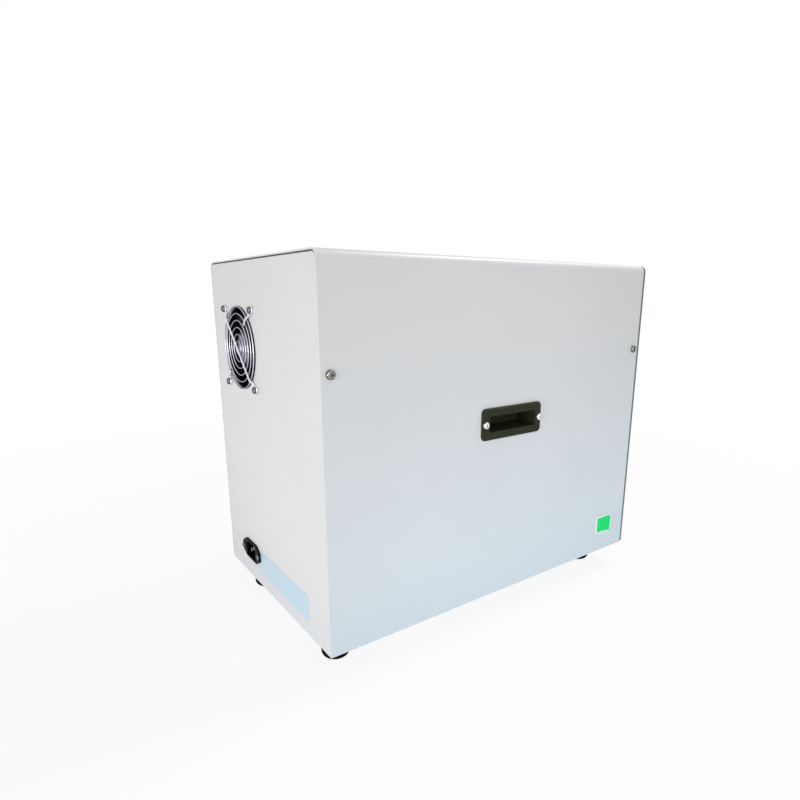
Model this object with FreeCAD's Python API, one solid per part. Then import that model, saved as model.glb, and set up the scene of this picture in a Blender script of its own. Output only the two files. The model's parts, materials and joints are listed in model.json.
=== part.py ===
import FreeCAD, Part
import math
import os

from FreeCAD import Vector

# A desktop drawer reflow oven, in millimetres. X runs to the right seen from the
# front, Y to the rear, Z up from the surface that the feet stand on. Places are
# worked out about the middle of the housing; the last lines shift every piece so
# that the origin is the middle of the whole oven's footprint.

# Housing
BODY_W = 238.0
BODY_D = 394.0
BODY_H = 322.0
SHEET = 1.2
COVER_BEND = 7.0
PANEL_FIT = 0.3
PANEL_TOP_GAP = 1.0
PANEL_FLANGE = 16.0
PANEL_BEND_LAND = 0.2
PAN_FLANGE = 18.0
FASCIA_T = 3.0
FASCIA_FOOT_ROUND = 2.0
COVER_SCREW_INSET = 8.0
COVER_SCREW_RISE = 233.0

# Screws: head radius, head height, shank radius and shank length
COVER_SCREW = (3.8, 2.6, 1.95, 8.0)
HANDLE_SCREW = (3.3, 2.0, 1.75, 8.0)
FAN_SCREW = (3.3, 2.2, 2.0, 12.0)
INLET_SCREW = (2.9, 1.6, 1.45, 8.0)
FOOT_SCREW = (4.0, 2.4, 1.95, 22.0)
BAR_SCREW = (3.5, 2.2, 1.95, 9.0)
SCREW_BEVEL = 0.5
HOLE_FIT = 0.1

# Feet
FOOT_H = 26.0
FOOT_R = 13.0
FOOT_ROUND = 6.0
FOOT_ROUND_FLATS = 3
FOOT_SIDE_INSET = 38.0
FOOT_FRONT_INSET = 33.0
FOOT_REAR_INSET = 23.5
FOOT_WELL_R = 5.0
FOOT_WELL_DEPTH = 8.0

# Base vents
VENT_COUNT = 9
VENT_PITCH = 16.0
VENT_LENGTH = 60.0
VENT_WIDTH = 4.0

# Recessed side handles
HANDLE_RISE = 175.0
HANDLE_FLANGE_T = 2.5
HANDLE_CORNER = 4.5
HANDLE_BEVEL = 1.2
HANDLE_MOUTH_H = 15.0
HANDLE_LIP = 7.5
HANDLE_CUP_RISE = 2.5
HANDLE_CUP_WALL = 1.2
HANDLE_DEPTH = 22.0
HANDLE_SCREW_PITCH = 69.6
HANDLE_SCREW_END = 3.7
HANDLE_SCREW_ROOM = 4.8
HANDLE_CUT_FIT = 0.4

# Rocker switch
SWITCH_FRONT_INSET = 40.2
SWITCH_RISE = 32.6
SWITCH_BEZEL_LIP = 0.8
SWITCH_BEZEL_T = 1.4
SWITCH_BEZEL_ROUND = 1.5
SWITCH_WALL = 0.45
SWITCH_END_WALL = 1.2
SWITCH_BODY_DEPTH = 22.0
SWITCH_CUT_FIT = 0.2
SWITCH_BLADE = (8.0, 0.8, 6.3)
ROCKER_H = 16.5
ROCKER_GAP = 0.3
ROCKER_R = 10.8
ROCKER_PIVOT_IN = 3.0
ROCKER_RISE = 3.0
ROCKER_DISH = 0.8
ROCKER_TAIL = 5.0
ROCKER_PIN_R = 1.5
ROCKER_PIN_L = 1.2
ROCKER_PIN_FIT = 0.05
ROCKER_TILT = 11.0

# Exhaust fan and its wire guard
FAN_SIDE_INSET = 72.0
FAN_TOP_INSET = 81.0
FAN_T = 25.0
FAN_PITCH = 71.5
FAN_HOLE_EDGE = 4.25
FAN_RIM = 2.0
FAN_FLANGE_T = 4.0
FAN_CORNER = 4.0
FAN_HUB_R = 17.0
FAN_HUB_INSET = 1.5
FAN_HUB_BEVEL = 1.5
FAN_HUB_WALL = 2.4
FAN_BLADES = 7
FAN_TIP_GAP = 1.2
FAN_BLADE_T = 1.3
FAN_ROOT_CHORD = 19.0
FAN_ROOT_PITCH = 44.0
FAN_TIP_CHORD = 26.0
FAN_TIP_PITCH = 28.0
FAN_CAMBER = 2.2
FAN_BASE_T = 3.0
FAN_BASE_GAP = 1.0
FAN_STRUT_W = 4.0
FAN_SHAFT_R = 1.6
FAN_SLEEVE_R = 4.0
FAN_SLEEVE_L = 9.0
SHAFT_FIT = 0.05
PANEL_FAN_FIT = 0.8
GUARD_WIRE_R = 0.85
GUARD_RING_WIRE_R = 0.65
GUARD_WELD = 0.3
GUARD_RINGS = 6
GUARD_FIRST_R = 8.0
GUARD_OVERHANG = 0.7
GUARD_LIFT = 2.2
GUARD_LEG_INSET = 7.5
GUARD_ARM_RINGS = 2
GUARD_EYE_R = 3.2

# Mains inlet
INLET_SIDE_INSET = 65.1
INLET_RISE = 30.6
INLET_FLAT_L = 27.0
INLET_EAR_H = 9.0
INLET_T = 2.0
INLET_ROUND = 1.5
INLET_WALL = 1.3
INLET_LIP = 0.6
INLET_DEPTH = 20.0
INLET_WELL_L = 24.0
INLET_WELL_H = 16.6
INLET_WELL_DEPTH = 17.0
INLET_WELL_CUT = 4.0
INLET_CUT_FIT = 0.3
INLET_SCREW_PITCH = 40.0
INLET_EAR_END = 3.2
INLET_PIN = (2.0, 4.0, 14.0)
INLET_PIN_PITCH = 7.0
INLET_PIN_RISE = 2.0
INLET_TAG_L = 7.0

# Drawer opening and drawer front
DRAWER_RISE = 98.0
OPENING_SIDE_MARGIN = 19.0
OPENING_H = 112.0
DRAWER_LAP = 5.0
DRAWER_T = 15.0
DRAWER_GAP = 0.6
DRAWER_SHEET = 1.5
DRAWER_EDGE_ROUND = 4.0
DRAWER_BEVEL = 1.0
WINDOW_W = 124.0
WINDOW_H = 56.0
WINDOW_RISE = 10.0
WINDOW_ROUND = 6.0
WINDOW_LAP = 5.0
GLASS_T = 3.0
SEAL_W = 5.0
SEAL_GAP = 0.3
BAR_SPAN = 96.0
BAR_T = 7.0
BAR_H = 14.0
BAR_REACH = 32.0
BAR_BEND = 10.0
BAR_DROP = 44.0
DRAWER_TRAVEL = 190.0

# Drawer side plates and telescopic slides
SIDE_PLATE_H = 44.0
SIDE_PLATE_FLANGE = 9.0
SLIDE_OVERLAP = 50.0
SLIDE_H = 32.0
SLIDE_W = 10.0
SLIDE_SHEET = 1.2
SLIDE_FIT = 0.35
SLIDE_FRONT_GAP = 1.0
BRACKET_FOOT = 14.0
BRACKET_INSET = 65.8
BRACKET_MARGIN = 6.0

# Heating chamber
CHAMBER_SIDE_ROOM = 41.0
CHAMBER_H = 100.0
CHAMBER_D = 252.8
LINER_SHEET = 0.8
INSULATION_T = 8.0
SIDE_PLATE_GAP = 0.6
SUPPORT_FRONT_INSET = 42.8
SUPPORT_REAR_INSET = 30.0
SUPPORT_L = 24.0
SUPPORT_SIDE_INSET = 12.6

# Heaters, board tray and circulation fan
HEATER_R = 5.0
HEATER_COUNT = 3
HEATER_PITCH = 62.0
HEATER_FRONT_INSET = 42.8
HEATER_WALL_GAP = 14.0
CAP_R = 8.0
CAP_L = 8.0
CAP_GRIP = 4.0
HEATER_FIT = 0.1
TRAY_BAR = 4.0
TRAY_WIRE = 2.0
TRAY_SIDE_GAP = 8.0
TRAY_REAR_GAP = 36.0
TRAY_WIRE_PITCH = 14.0
TRAY_DROP = 22.0
IMPELLER_R = 36.0
IMPELLER_H = 12.0
IMPELLER_DISC_T = 1.2
IMPELLER_BLADES = 8
IMPELLER_HUB_R = 7.0
IMPELLER_WALL_GAP = 6.0
MOTOR_R = 27.0
MOTOR_L = 40.0
MOTOR_SHAFT_R = 3.0
MOTOR_SHAFT_GAP = 1.0
MOTOR_GRIP = 24.0
MOTOR_FLANGE_R = 33.0
MOTOR_FLANGE_T = 3.0
PROBE_R = 1.5
PROBE_X = 40.0
PROBE_REAR_INSET = 40.0
PROBE_DEPTH = 34.0
PROBE_NUT_R = 6.0
PROBE_NUT_H = 6.0

# Display, keys and control board
DISPLAY_TOP_INSET = 56.0
DISPLAY_W = 96.0
DISPLAY_H = 54.0
DISPLAY_LAP = 3.0
DISPLAY_RECESS = 0.5
DISPLAY_MODULE_T = 6.0
DISPLAY_FIT = 0.2
KEY_NAMES = ("key_menu", "key_down", "key_up", "key_start", "key_stop")
KEY_TOP_INSET = 110.0
KEY_PITCH = 27.0
KEY_W = 16.0
KEY_H = 11.0
KEY_CORNER = 2.0
KEY_RISE = 2.0
KEY_BEVEL = 0.8
KEY_COLLAR = 1.2
KEY_COLLAR_T = 1.0
KEY_FIT = 0.2
KEY_STEM = 4.0
KEY_TRAVEL = 0.8
KEY_SPARE = 0.4
BOARD_W = 150.0
BOARD_H = 106.0
BOARD_TOP_INSET = 74.0
BOARD_T = 1.6
BOARD_STAND = 9.0
TACT_SIZE = 6.0
TACT_H = 3.5
STANDOFF_R = 3.0
STANDOFF_INSET = 5.0

# Electronics over the chamber and on the base
SHELF_SIDE_INSET = 3.6
SHELF_FRONT_INSET = 52.8
SHELF_REAR_INSET = 57.0
SHELF_LIFT = 16.0
SHELF_LIP = 10.0
SHELF_LEG_W = 30.0
SUPPLY_SIZE = (98.0, 110.0, 36.0)
SUPPLY_SIDE_INSET = 5.0
SUPPLY_REAR_INSET = 70.0
SUPPLY_SLOTS = 7
SUPPLY_SLOT_W = 3.0
SUPPLY_TOP_SLOT = 56.0
SUPPLY_END_SLOT = 14.0
SUPPLY_WALL = 1.2
RELAY_SIDE_INSET = 12.0
RELAY_FRONT_INSET = 80.0
RELAY_SIZE = (58.0, 45.0, 23.0)
SINK_SIZE = (84.0, 70.0, 5.0)
SINK_FINS = 9
SINK_FIN = (2.0, 20.0)
TERMINAL_X = 10.0
TERMINAL_REAR_INSET = 32.0
TERMINAL_SIZE = (56.0, 22.0, 16.0)
TERMINAL_WAYS = 5
TERMINAL_WELL_R = 3.2
TERMINAL_WELL_DEPTH = 8.0

# Places that follow from the sizes above
HALF_W = BODY_W / 2
REAR_Y = BODY_D / 2
FRONT_Y = -BODY_D / 2
BASE_Z = FOOT_H
TOP_Z = FOOT_H + BODY_H
FLOOR_Z = BASE_Z + SHEET
COVER_FRONT_Y = FRONT_Y + FASCIA_T
FRAME_REAR_Y = COVER_FRONT_Y + SHEET
PANEL_INNER_Y = REAR_Y - SHEET
PANEL_BEND = SHEET - PANEL_BEND_LAND
PANEL_HALF_W = HALF_W - SHEET - PANEL_FIT
PANEL_TOP_Z = TOP_Z - SHEET - PANEL_TOP_GAP
COVER_SCREW_Z = BASE_Z + COVER_SCREW_RISE
HANDLE_Z = BASE_Z + HANDLE_RISE
HANDLE_FLANGE_L = HANDLE_SCREW_PITCH + 2 * HANDLE_SCREW_END
HANDLE_FLANGE_H = HANDLE_MOUTH_H + 2 * HANDLE_LIP
HANDLE_MOUTH_L = HANDLE_SCREW_PITCH - 2 * HANDLE_SCREW_ROOM
HANDLE_CUP_H = HANDLE_MOUTH_H + 2 * HANDLE_CUP_RISE
SWITCH_Y = FRONT_Y + SWITCH_FRONT_INSET
SWITCH_Z = BASE_Z + SWITCH_RISE
SWITCH_BODY_L = 2 * (ROCKER_R + ROCKER_GAP + SWITCH_END_WALL)
SWITCH_BODY_H = ROCKER_H + 2 * (ROCKER_GAP + ROCKER_PIN_L + SWITCH_WALL)
SWITCH_BEZEL_L = SWITCH_BODY_L + 2 * SWITCH_BEZEL_LIP
SWITCH_BEZEL_H = SWITCH_BODY_H + 2 * SWITCH_BEZEL_LIP
FAN_X = HALF_W - FAN_SIDE_INSET
FAN_Z = TOP_Z - FAN_TOP_INSET
FAN_SIZE = FAN_PITCH + 2 * FAN_HOLE_EDGE
FAN_BORE_R = FAN_SIZE / 2 - FAN_RIM
PANEL_FAN_R = FAN_BORE_R + PANEL_FAN_FIT
INLET_X = HALF_W - INLET_SIDE_INSET
INLET_Z = BASE_Z + INLET_RISE
INLET_L = INLET_SCREW_PITCH + 2 * INLET_EAR_END
INLET_SHROUD_L = INLET_WELL_L + 2 * INLET_WALL
INLET_SHROUD_H = INLET_WELL_H + 2 * INLET_WALL
INLET_H = INLET_SHROUD_H + 2 * INLET_LIP
DISPLAY_Z = TOP_Z - DISPLAY_TOP_INSET
KEY_Z = TOP_Z - KEY_TOP_INSET
BOARD_Z = TOP_Z - BOARD_TOP_INSET

DRAWER_Z = BASE_Z + DRAWER_RISE
OPENING_W = BODY_W - 2 * OPENING_SIDE_MARGIN
DRAWER_REAR_Y = FRONT_Y - DRAWER_GAP
DRAWER_FRONT_Y = DRAWER_REAR_Y - DRAWER_T
BAR_Z = DRAWER_Z - BAR_DROP
WINDOW_Z = DRAWER_Z + WINDOW_RISE

CHAMBER_W = BODY_W - 2 * CHAMBER_SIDE_ROOM
CHAMBER_REAR_Y = FRAME_REAR_Y + CHAMBER_D
LINER_HALF_W = CHAMBER_W / 2 + LINER_SHEET
LINER_HALF_H = CHAMBER_H / 2 + LINER_SHEET
JACKET_IN_W = LINER_HALF_W + INSULATION_T
JACKET_IN_H = LINER_HALF_H + INSULATION_T
JACKET_HALF_W = JACKET_IN_W + LINER_SHEET
JACKET_HALF_H = JACKET_IN_H + LINER_SHEET
JACKET_TOP_Z = DRAWER_Z + JACKET_HALF_H
JACKET_FOOT_Z = DRAWER_Z - JACKET_HALF_H
LINER_BACK_Y = CHAMBER_REAR_Y + LINER_SHEET
JACKET_IN_Y = LINER_BACK_Y + INSULATION_T
JACKET_BACK_Y = JACKET_IN_Y + LINER_SHEET

SIDE_PLATE_X = JACKET_HALF_W + SIDE_PLATE_GAP
SLIDE_X = SIDE_PLATE_X + SHEET
BRACKET_X = SLIDE_X + SLIDE_W
SLIDE_FRONT_Y = FRAME_REAR_Y + SLIDE_FRONT_GAP
SLIDE_REAR_Y = SLIDE_FRONT_Y + DRAWER_TRAVEL + SLIDE_OVERLAP
BRACKET_FRONT_Y = SLIDE_FRONT_Y + BRACKET_INSET
TRAY_Z = DRAWER_Z - TRAY_DROP
TRAY_REAR_Y = CHAMBER_REAR_Y - TRAY_REAR_GAP
PROBE_Y = CHAMBER_REAR_Y - PROBE_REAR_INSET
SUPPORT_YS = (FRAME_REAR_Y + SUPPORT_FRONT_INSET, CHAMBER_REAR_Y - SUPPORT_REAR_INSET)
SUPPORT_HALF_W = JACKET_HALF_W - SUPPORT_SIDE_INSET
SHELF_Z = JACKET_TOP_Z + SHELF_LIFT
SHELF_HALF_W = JACKET_HALF_W - SHELF_SIDE_INSET
SUPPLY_X = SUPPLY_SIDE_INSET + SUPPLY_SIZE[0] / 2 - SHELF_HALF_W
RELAY_X = RELAY_SIDE_INSET + SINK_SIZE[0] / 2 - SHELF_HALF_W
SHELF_FRONT_Y = FRAME_REAR_Y + SHELF_FRONT_INSET
SHELF_REAR_Y = REAR_Y - SHELF_REAR_INSET
BOARD_Y = FRAME_REAR_Y + BOARD_STAND

GUARD_LAST_R = PANEL_FAN_R + GUARD_OVERHANG
GUARD_EYE_AT = math.hypot(FAN_PITCH, FAN_PITCH) / 2
GUARD_LEG_R = GUARD_EYE_AT - GUARD_LEG_INSET
GUARD_RING_Y = REAR_Y + GUARD_LIFT
GUARD_BAR_Y = GUARD_RING_Y + GUARD_RING_WIRE_R + GUARD_WIRE_R - GUARD_WELD
GUARD_TOP_Y = GUARD_BAR_Y + GUARD_WIRE_R
INLET_TOP_Y = REAR_Y + INLET_T + INLET_SCREW[1]
ORIGIN_Y = (DRAWER_FRONT_Y - BAR_REACH + max(GUARD_TOP_Y, INLET_TOP_Y)) / 2


def at(axis, u, v, level):
    """The point (u, v) on the plane across an axis, in the order X, Y, Z."""
    points = {"x": (level, u, v), "y": (u, level, v), "z": (u, v, level)}
    return Vector(*points[axis])


def along(axis, length):
    """A step of some length along an axis."""
    return at(axis, 0, 0, length)


def outline(axis, corners, level):
    """A closed wire through corners (u, v, radius), each rounded by its own radius."""
    edges = []
    ends = []
    count = len(corners)
    for i in range(count):
        u, v, radius = corners[i]
        here = at(axis, u, v, level)
        if radius <= 0:
            ends.append((here, here))
            continue
        before = (at(axis, *corners[i - 1][:2], level) - here).normalize()
        after = (at(axis, *corners[(i + 1) % count][:2], level) - here).normalize()
        half = before.getAngle(after) / 2
        reach = radius / math.tan(half)
        middle = (before + after).normalize() * (radius / math.sin(half) - radius)
        start = here + before * reach
        end = here + after * reach
        edges.append(Part.Arc(start, here + middle, end).toShape())
        ends.append((start, end))
    for i in range(count):
        start = ends[i][1]
        end = ends[(i + 1) % count][0]
        if start.distanceToPoint(end) > 1e-6:
            edges.append(Part.makeLine(start, end))
    return Part.Wire(Part.__sortEdges__(edges))


def rect(u, v, width, height, radius=0.0):
    """Corners of a rectangle about (u, v)."""
    signs = ((-1, -1), (1, -1), (1, 1), (-1, 1))
    return [(u + a * width / 2, v + b * height / 2, radius) for a, b in signs]


def prism(axis, corners, start, end):
    """A solid of one outline, from one level of an axis to another."""
    return Part.Face(outline(axis, corners, start)).extrude(along(axis, end - start))


def slab(axis, u, v, width, height, start, end, radius=0.0):
    """A rectangular prism about (u, v)."""
    return prism(axis, rect(u, v, width, height, radius), start, end)


def block(x0, x1, y0, y1, z0, z1):
    """A box between two corners."""
    return Part.makeBox(x1 - x0, y1 - y0, z1 - z0, Vector(x0, y0, z0))


def rod(axis, u, v, radius, start, end):
    """A round bar along an axis."""
    return Part.makeCylinder(radius, end - start, at(axis, u, v, start), along(axis, 1))


def hexagon(axis, u, v, radius, start, end):
    """A six sided bar along an axis, measured to its corners."""
    angles = [math.radians(60 * i) for i in range(6)]
    corners = [(u + radius * math.cos(a), v + radius * math.sin(a), 0) for a in angles]
    return prism(axis, corners, start, end)


def joined(pieces):
    """One solid of pieces that meet."""
    return pieces[0].multiFuse(pieces[1:]).removeSplitter()


def cut(shape, tools):
    """A solid less some others."""
    return shape.cut(tools)


def turned(profile, place, direction):
    """A solid of revolution: edges in (radius, height), stood on a place."""
    solid = Part.Face(Part.Wire(profile)).revolve(Vector(0, 0, 0), Vector(0, 0, 1), 360)
    solid.Placement = FreeCAD.Placement(place, FreeCAD.Rotation(Vector(0, 0, 1), direction))
    return solid


def path_edges(points):
    """Straight edges through (radius, height) points."""
    vectors = [Vector(r, 0, h) for r, h in points]
    return [Part.makeLine(a, b) for a, b in zip(vectors, vectors[1:])]


def screw(spec, seat, outward):
    """A pan head screw whose head sits on a seat."""
    head_r, head_h, shank_r, shank_l = spec
    bevel = head_h * SCREW_BEVEL
    points = [(0, head_h), (0, -shank_l), (shank_r, -shank_l), (shank_r, 0), (head_r, 0)]
    points += [(head_r, head_h - bevel), (head_r - bevel, head_h), (0, head_h)]
    return turned(path_edges(points), seat, outward)


def grid(count, pitch):
    """Evenly spaced places about zero."""
    return [(i - (count - 1) / 2) * pitch for i in range(count)]


def corners_of(u, v):
    """Four places, one in each quarter."""
    return [(a * u, b * v) for a in (-1, 1) for b in (-1, 1)]


# Housing

FOOT_X = HALF_W - FOOT_SIDE_INSET
FOOT_YS = (FRONT_Y + FOOT_FRONT_INSET, REAR_Y - FOOT_REAR_INSET)
FEET_AT = [(x, y) for x in (-FOOT_X, FOOT_X) for y in FOOT_YS]
COVER_SCREW_YS = (COVER_FRONT_Y + COVER_SCREW_INSET, REAR_Y - COVER_SCREW_INSET)
FAN_SCREW_AT = [(FAN_X + u, FAN_Z + v) for u, v in corners_of(FAN_PITCH / 2, FAN_PITCH / 2)]
KEY_XS = grid(len(KEY_NAMES), KEY_PITCH)
BAR_XS = (-BAR_SPAN / 2, BAR_SPAN / 2)


def outer_cover():
    """Top and both sides, bent from one sheet."""
    inner_w = HALF_W - SHEET
    inner_top = TOP_Z - SHEET
    inner_bend = COVER_BEND - SHEET
    profile = [
        (-HALF_W, BASE_Z, 0),
        (-HALF_W, TOP_Z, COVER_BEND),
        (HALF_W, TOP_Z, COVER_BEND),
        (HALF_W, BASE_Z, 0),
        (inner_w, BASE_Z, 0),
        (inner_w, inner_top, inner_bend),
        (-inner_w, inner_top, inner_bend),
        (-inner_w, BASE_Z, 0),
    ]
    sheet = prism("y", profile, COVER_FRONT_Y, REAR_Y)
    cup_l = HANDLE_MOUTH_L + 2 * (HANDLE_CUP_WALL + HANDLE_CUT_FIT)
    cup_h = HANDLE_CUP_H + 2 * HANDLE_CUT_FIT
    holes = [slab("x", 0, HANDLE_Z, cup_l, cup_h, -HALF_W - SHEET, HALF_W + SHEET)]
    for y in COVER_SCREW_YS:
        radius = COVER_SCREW[2] + HOLE_FIT
        holes.append(rod("x", y, COVER_SCREW_Z, radius, -HALF_W - SHEET, HALF_W + SHEET))
    for y in (-HANDLE_SCREW_PITCH / 2, HANDLE_SCREW_PITCH / 2):
        radius = HANDLE_SCREW[2] + HOLE_FIT
        holes.append(rod("x", y, HANDLE_Z, radius, -HALF_W - SHEET, HALF_W + SHEET))
    switch_l = SWITCH_BODY_L + 2 * SWITCH_CUT_FIT
    switch_h = SWITCH_BODY_H + 2 * SWITCH_CUT_FIT
    holes.append(
        slab("x", SWITCH_Y, SWITCH_Z, switch_l, switch_h, -HALF_W - SHEET, -HALF_W + 2 * SHEET)
    )
    return cut(sheet, holes)


def end_panel(outer_y, inner_y):
    """A plate that closes one end of the cover, with flanges folded inwards."""
    round_top = COVER_BEND - SHEET
    profile = [
        (-PANEL_HALF_W, BASE_Z, 0),
        (PANEL_HALF_W, BASE_Z, 0),
        (PANEL_HALF_W, PANEL_TOP_Z, round_top),
        (-PANEL_HALF_W, PANEL_TOP_Z, round_top),
    ]
    inward = 1 if inner_y > outer_y else -1
    far_y = inner_y + inward * (PANEL_FLANGE - SHEET)
    near, far = sorted((inner_y, far_y))
    foot = BASE_Z + PAN_FLANGE + PANEL_FIT
    side_top = PANEL_TOP_Z - round_top
    plate = prism("y", profile, min(outer_y, inner_y), max(outer_y, inner_y))
    rim = [e for e in plate.Edges if abs(e.CenterOfMass.y - outer_y) < SHEET / 3]
    rim = [e for e in rim if e.CenterOfMass.z > BASE_Z + SHEET]
    pieces = [plate.makeFillet(PANEL_BEND, rim)]
    for side in (-1, 1):
        x0, x1 = sorted((side * PANEL_HALF_W, side * (PANEL_HALF_W - SHEET)))
        pieces.append(block(x0, x1, near, far, foot, side_top))
    top_w = PANEL_HALF_W - round_top
    pieces.append(block(-top_w, top_w, near, far, PANEL_TOP_Z - SHEET, PANEL_TOP_Z))
    y = inner_y + inward * (COVER_SCREW_INSET - SHEET)
    hole = rod("x", y, COVER_SCREW_Z, COVER_SCREW[2] + HOLE_FIT, -HALF_W, HALF_W)
    return cut(joined(pieces), [hole])


def rear_panel():
    """Rear closing panel with the fan and inlet cut-outs."""
    y0, y1 = PANEL_INNER_Y - SHEET, REAR_Y + SHEET
    holes = [rod("y", FAN_X, FAN_Z, PANEL_FAN_R, y0, y1)]
    for x, z in FAN_SCREW_AT:
        holes.append(rod("y", x, z, FAN_SCREW[2] + HOLE_FIT, y0, y1))
    cut_l = INLET_SHROUD_L + 2 * INLET_CUT_FIT
    cut_h = INLET_SHROUD_H + 2 * INLET_CUT_FIT
    holes.append(slab("y", INLET_X, INLET_Z, cut_l, cut_h, y0, y1))
    for x in (-INLET_SCREW_PITCH / 2, INLET_SCREW_PITCH / 2):
        holes.append(rod("y", INLET_X + x, INLET_Z, INLET_SCREW[2] + HOLE_FIT, y0, y1))
    return cut(end_panel(REAR_Y, PANEL_INNER_Y), holes)


def front_openings(y0, y1, display_grow, key_grow, key_corner):
    """Tools that open the drawer mouth, the display and the key holes."""
    tools = [slab("y", 0, DRAWER_Z, OPENING_W, OPENING_H, y0, y1)]
    display_w, display_h = DISPLAY_W + 2 * display_grow, DISPLAY_H + 2 * display_grow
    tools.append(slab("y", 0, DISPLAY_Z, display_w, display_h, y0, y1))
    key_w, key_h = KEY_W + 2 * key_grow, KEY_H + 2 * key_grow
    for x in KEY_XS:
        tools.append(slab("y", x, KEY_Z, key_w, key_h, y0, y1, key_corner))
    return tools


def front_frame():
    """Sheet frame behind the fascia; it carries the display, board and chamber."""
    tools = front_openings(
        COVER_FRONT_Y - SHEET,
        FRAME_REAR_Y + SHEET,
        -DISPLAY_LAP,
        KEY_COLLAR + KEY_FIT,
        0.0,
    )
    return cut(end_panel(COVER_FRONT_Y, FRAME_REAR_Y), tools)


def front_fascia():
    """Front plate, as wide and high as the cover."""
    profile = [
        (-HALF_W, BASE_Z, FASCIA_FOOT_ROUND),
        (HALF_W, BASE_Z, FASCIA_FOOT_ROUND),
        (HALF_W, TOP_Z, COVER_BEND),
        (-HALF_W, TOP_Z, COVER_BEND),
    ]
    tools = front_openings(
        FRONT_Y - FASCIA_T,
        COVER_FRONT_Y + FASCIA_T,
        DISPLAY_FIT,
        KEY_FIT,
        KEY_CORNER + KEY_FIT,
    )
    return cut(prism("y", profile, FRONT_Y, COVER_FRONT_Y), tools)


def base_pan():
    """Floor of the housing: vent slots, and upturned sides that stay clear of the switch."""
    pieces = [block(-PANEL_HALF_W, PANEL_HALF_W, FRAME_REAR_Y, PANEL_INNER_Y, BASE_Z, FLOOR_Z)]
    for side in (-1, 1):
        x0, x1 = sorted((side * PANEL_HALF_W, side * (PANEL_HALF_W - SHEET)))
        pieces.append(block(x0, x1, FRAME_REAR_Y, PANEL_INNER_Y, BASE_Z, BASE_Z + PAN_FLANGE))
    below, above = BASE_Z - SHEET, FLOOR_Z + SHEET
    tools = []
    for x, y in FEET_AT:
        tools.append(rod("z", x, y, FOOT_SCREW[2] + HOLE_FIT, below, above))
    for y in grid(VENT_COUNT, VENT_PITCH):
        tools.append(slab("z", 0, y, VENT_LENGTH, VENT_WIDTH, below, above))
    switch_l = SWITCH_BODY_L + 2 * SWITCH_CUT_FIT
    switch_h = SWITCH_BODY_H + 2 * SWITCH_CUT_FIT
    tools.append(slab("x", SWITCH_Y, SWITCH_Z, switch_l, switch_h, -HALF_W, SWITCH_BODY_DEPTH - HALF_W))
    return cut(joined(pieces), tools)


def cover_screws():
    """Four screws that hold the cover to the end panels."""
    screws = []
    for side in (-1, 1):
        for y in COVER_SCREW_YS:
            seat = Vector(side * HALF_W, y, COVER_SCREW_Z)
            screws.append(screw(COVER_SCREW, seat, Vector(side, 0, 0)))
    return screws


def rubber_feet():
    """Four round feet with a rolled lower edge and a well for the screw head."""
    shank = FOOT_SCREW[2] + HOLE_FIT
    rim = FOOT_R - FOOT_ROUND
    profile = [
        (FOOT_R, FOOT_H),
        (shank, FOOT_H),
        (shank, FOOT_WELL_DEPTH),
        (FOOT_WELL_R, FOOT_WELL_DEPTH),
        (FOOT_WELL_R, 0),
    ]
    for i in range(FOOT_ROUND_FLATS + 1):
        turn = math.radians(90 * i / FOOT_ROUND_FLATS)
        profile.append((rim + FOOT_ROUND * math.sin(turn), FOOT_ROUND * (1 - math.cos(turn))))
    profile.append((FOOT_R, FOOT_H))
    return [turned(path_edges(profile), Vector(x, y, 0), Vector(0, 0, 1)) for x, y in FEET_AT]


def foot_screws():
    """A screw up through each foot and the base pan."""
    down = Vector(0, 0, -1)
    return [screw(FOOT_SCREW, Vector(x, y, FOOT_WELL_DEPTH), down) for x, y in FEET_AT]


# Side handles and power switch


def recessed_handle(side):
    """A moulded pull: bevelled flange outside, open cup inside the cover."""
    face = HALF_W + HANDLE_FLANGE_T
    cup_l = HANDLE_MOUTH_L + 2 * HANDLE_CUP_WALL
    flange = slab(
        "x", 0, HANDLE_Z, HANDLE_FLANGE_L, HANDLE_FLANGE_H, HALF_W, face, HANDLE_CORNER
    )
    rim = [edge for edge in flange.Edges if edge.BoundBox.XMin > face - HANDLE_BEVEL / 2]
    flange = flange.makeChamfer(HANDLE_BEVEL, rim)
    cup = slab("x", 0, HANDLE_Z, cup_l, HANDLE_CUP_H, HALF_W - HANDLE_DEPTH, face - HANDLE_BEVEL)
    floor_x = HALF_W - HANDLE_DEPTH + HANDLE_CUP_WALL
    roof = HANDLE_CUP_H / 2 - HANDLE_CUP_WALL
    lip = HALF_W - SHEET
    mouth = HANDLE_MOUTH_H / 2
    hollow = [
        (face + HANDLE_BEVEL, HANDLE_Z - mouth, 0),
        (face + HANDLE_BEVEL, HANDLE_Z + mouth, 0),
        (lip, HANDLE_Z + mouth, 0),
        (lip - HANDLE_CUP_WALL, HANDLE_Z + roof, 0),
        (floor_x, HANDLE_Z + roof, 0),
        (floor_x, HANDLE_Z - mouth + HANDLE_CUP_WALL, 0),
        (lip, HANDLE_Z - mouth, 0),
    ]
    tools = [prism("y", hollow, -HANDLE_MOUTH_L / 2, HANDLE_MOUTH_L / 2)]
    for y in (-HANDLE_SCREW_PITCH / 2, HANDLE_SCREW_PITCH / 2):
        tools.append(rod("x", y, HANDLE_Z, HANDLE_SCREW[2] + HOLE_FIT, HALF_W - SHEET, face + SHEET))
    pull = cut(joined([flange, cup]), tools)
    return pull if side > 0 else pull.mirror(Vector(0, 0, 0), Vector(1, 0, 0))


def handle_screws():
    """Two screws in each handle flange."""
    screws = []
    for side in (-1, 1):
        for y in (-HANDLE_SCREW_PITCH / 2, HANDLE_SCREW_PITCH / 2):
            seat = Vector(side * (HALF_W + HANDLE_FLANGE_T), y, HANDLE_Z)
            screws.append(screw(HANDLE_SCREW, seat, Vector(side, 0, 0)))
    return screws


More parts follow.
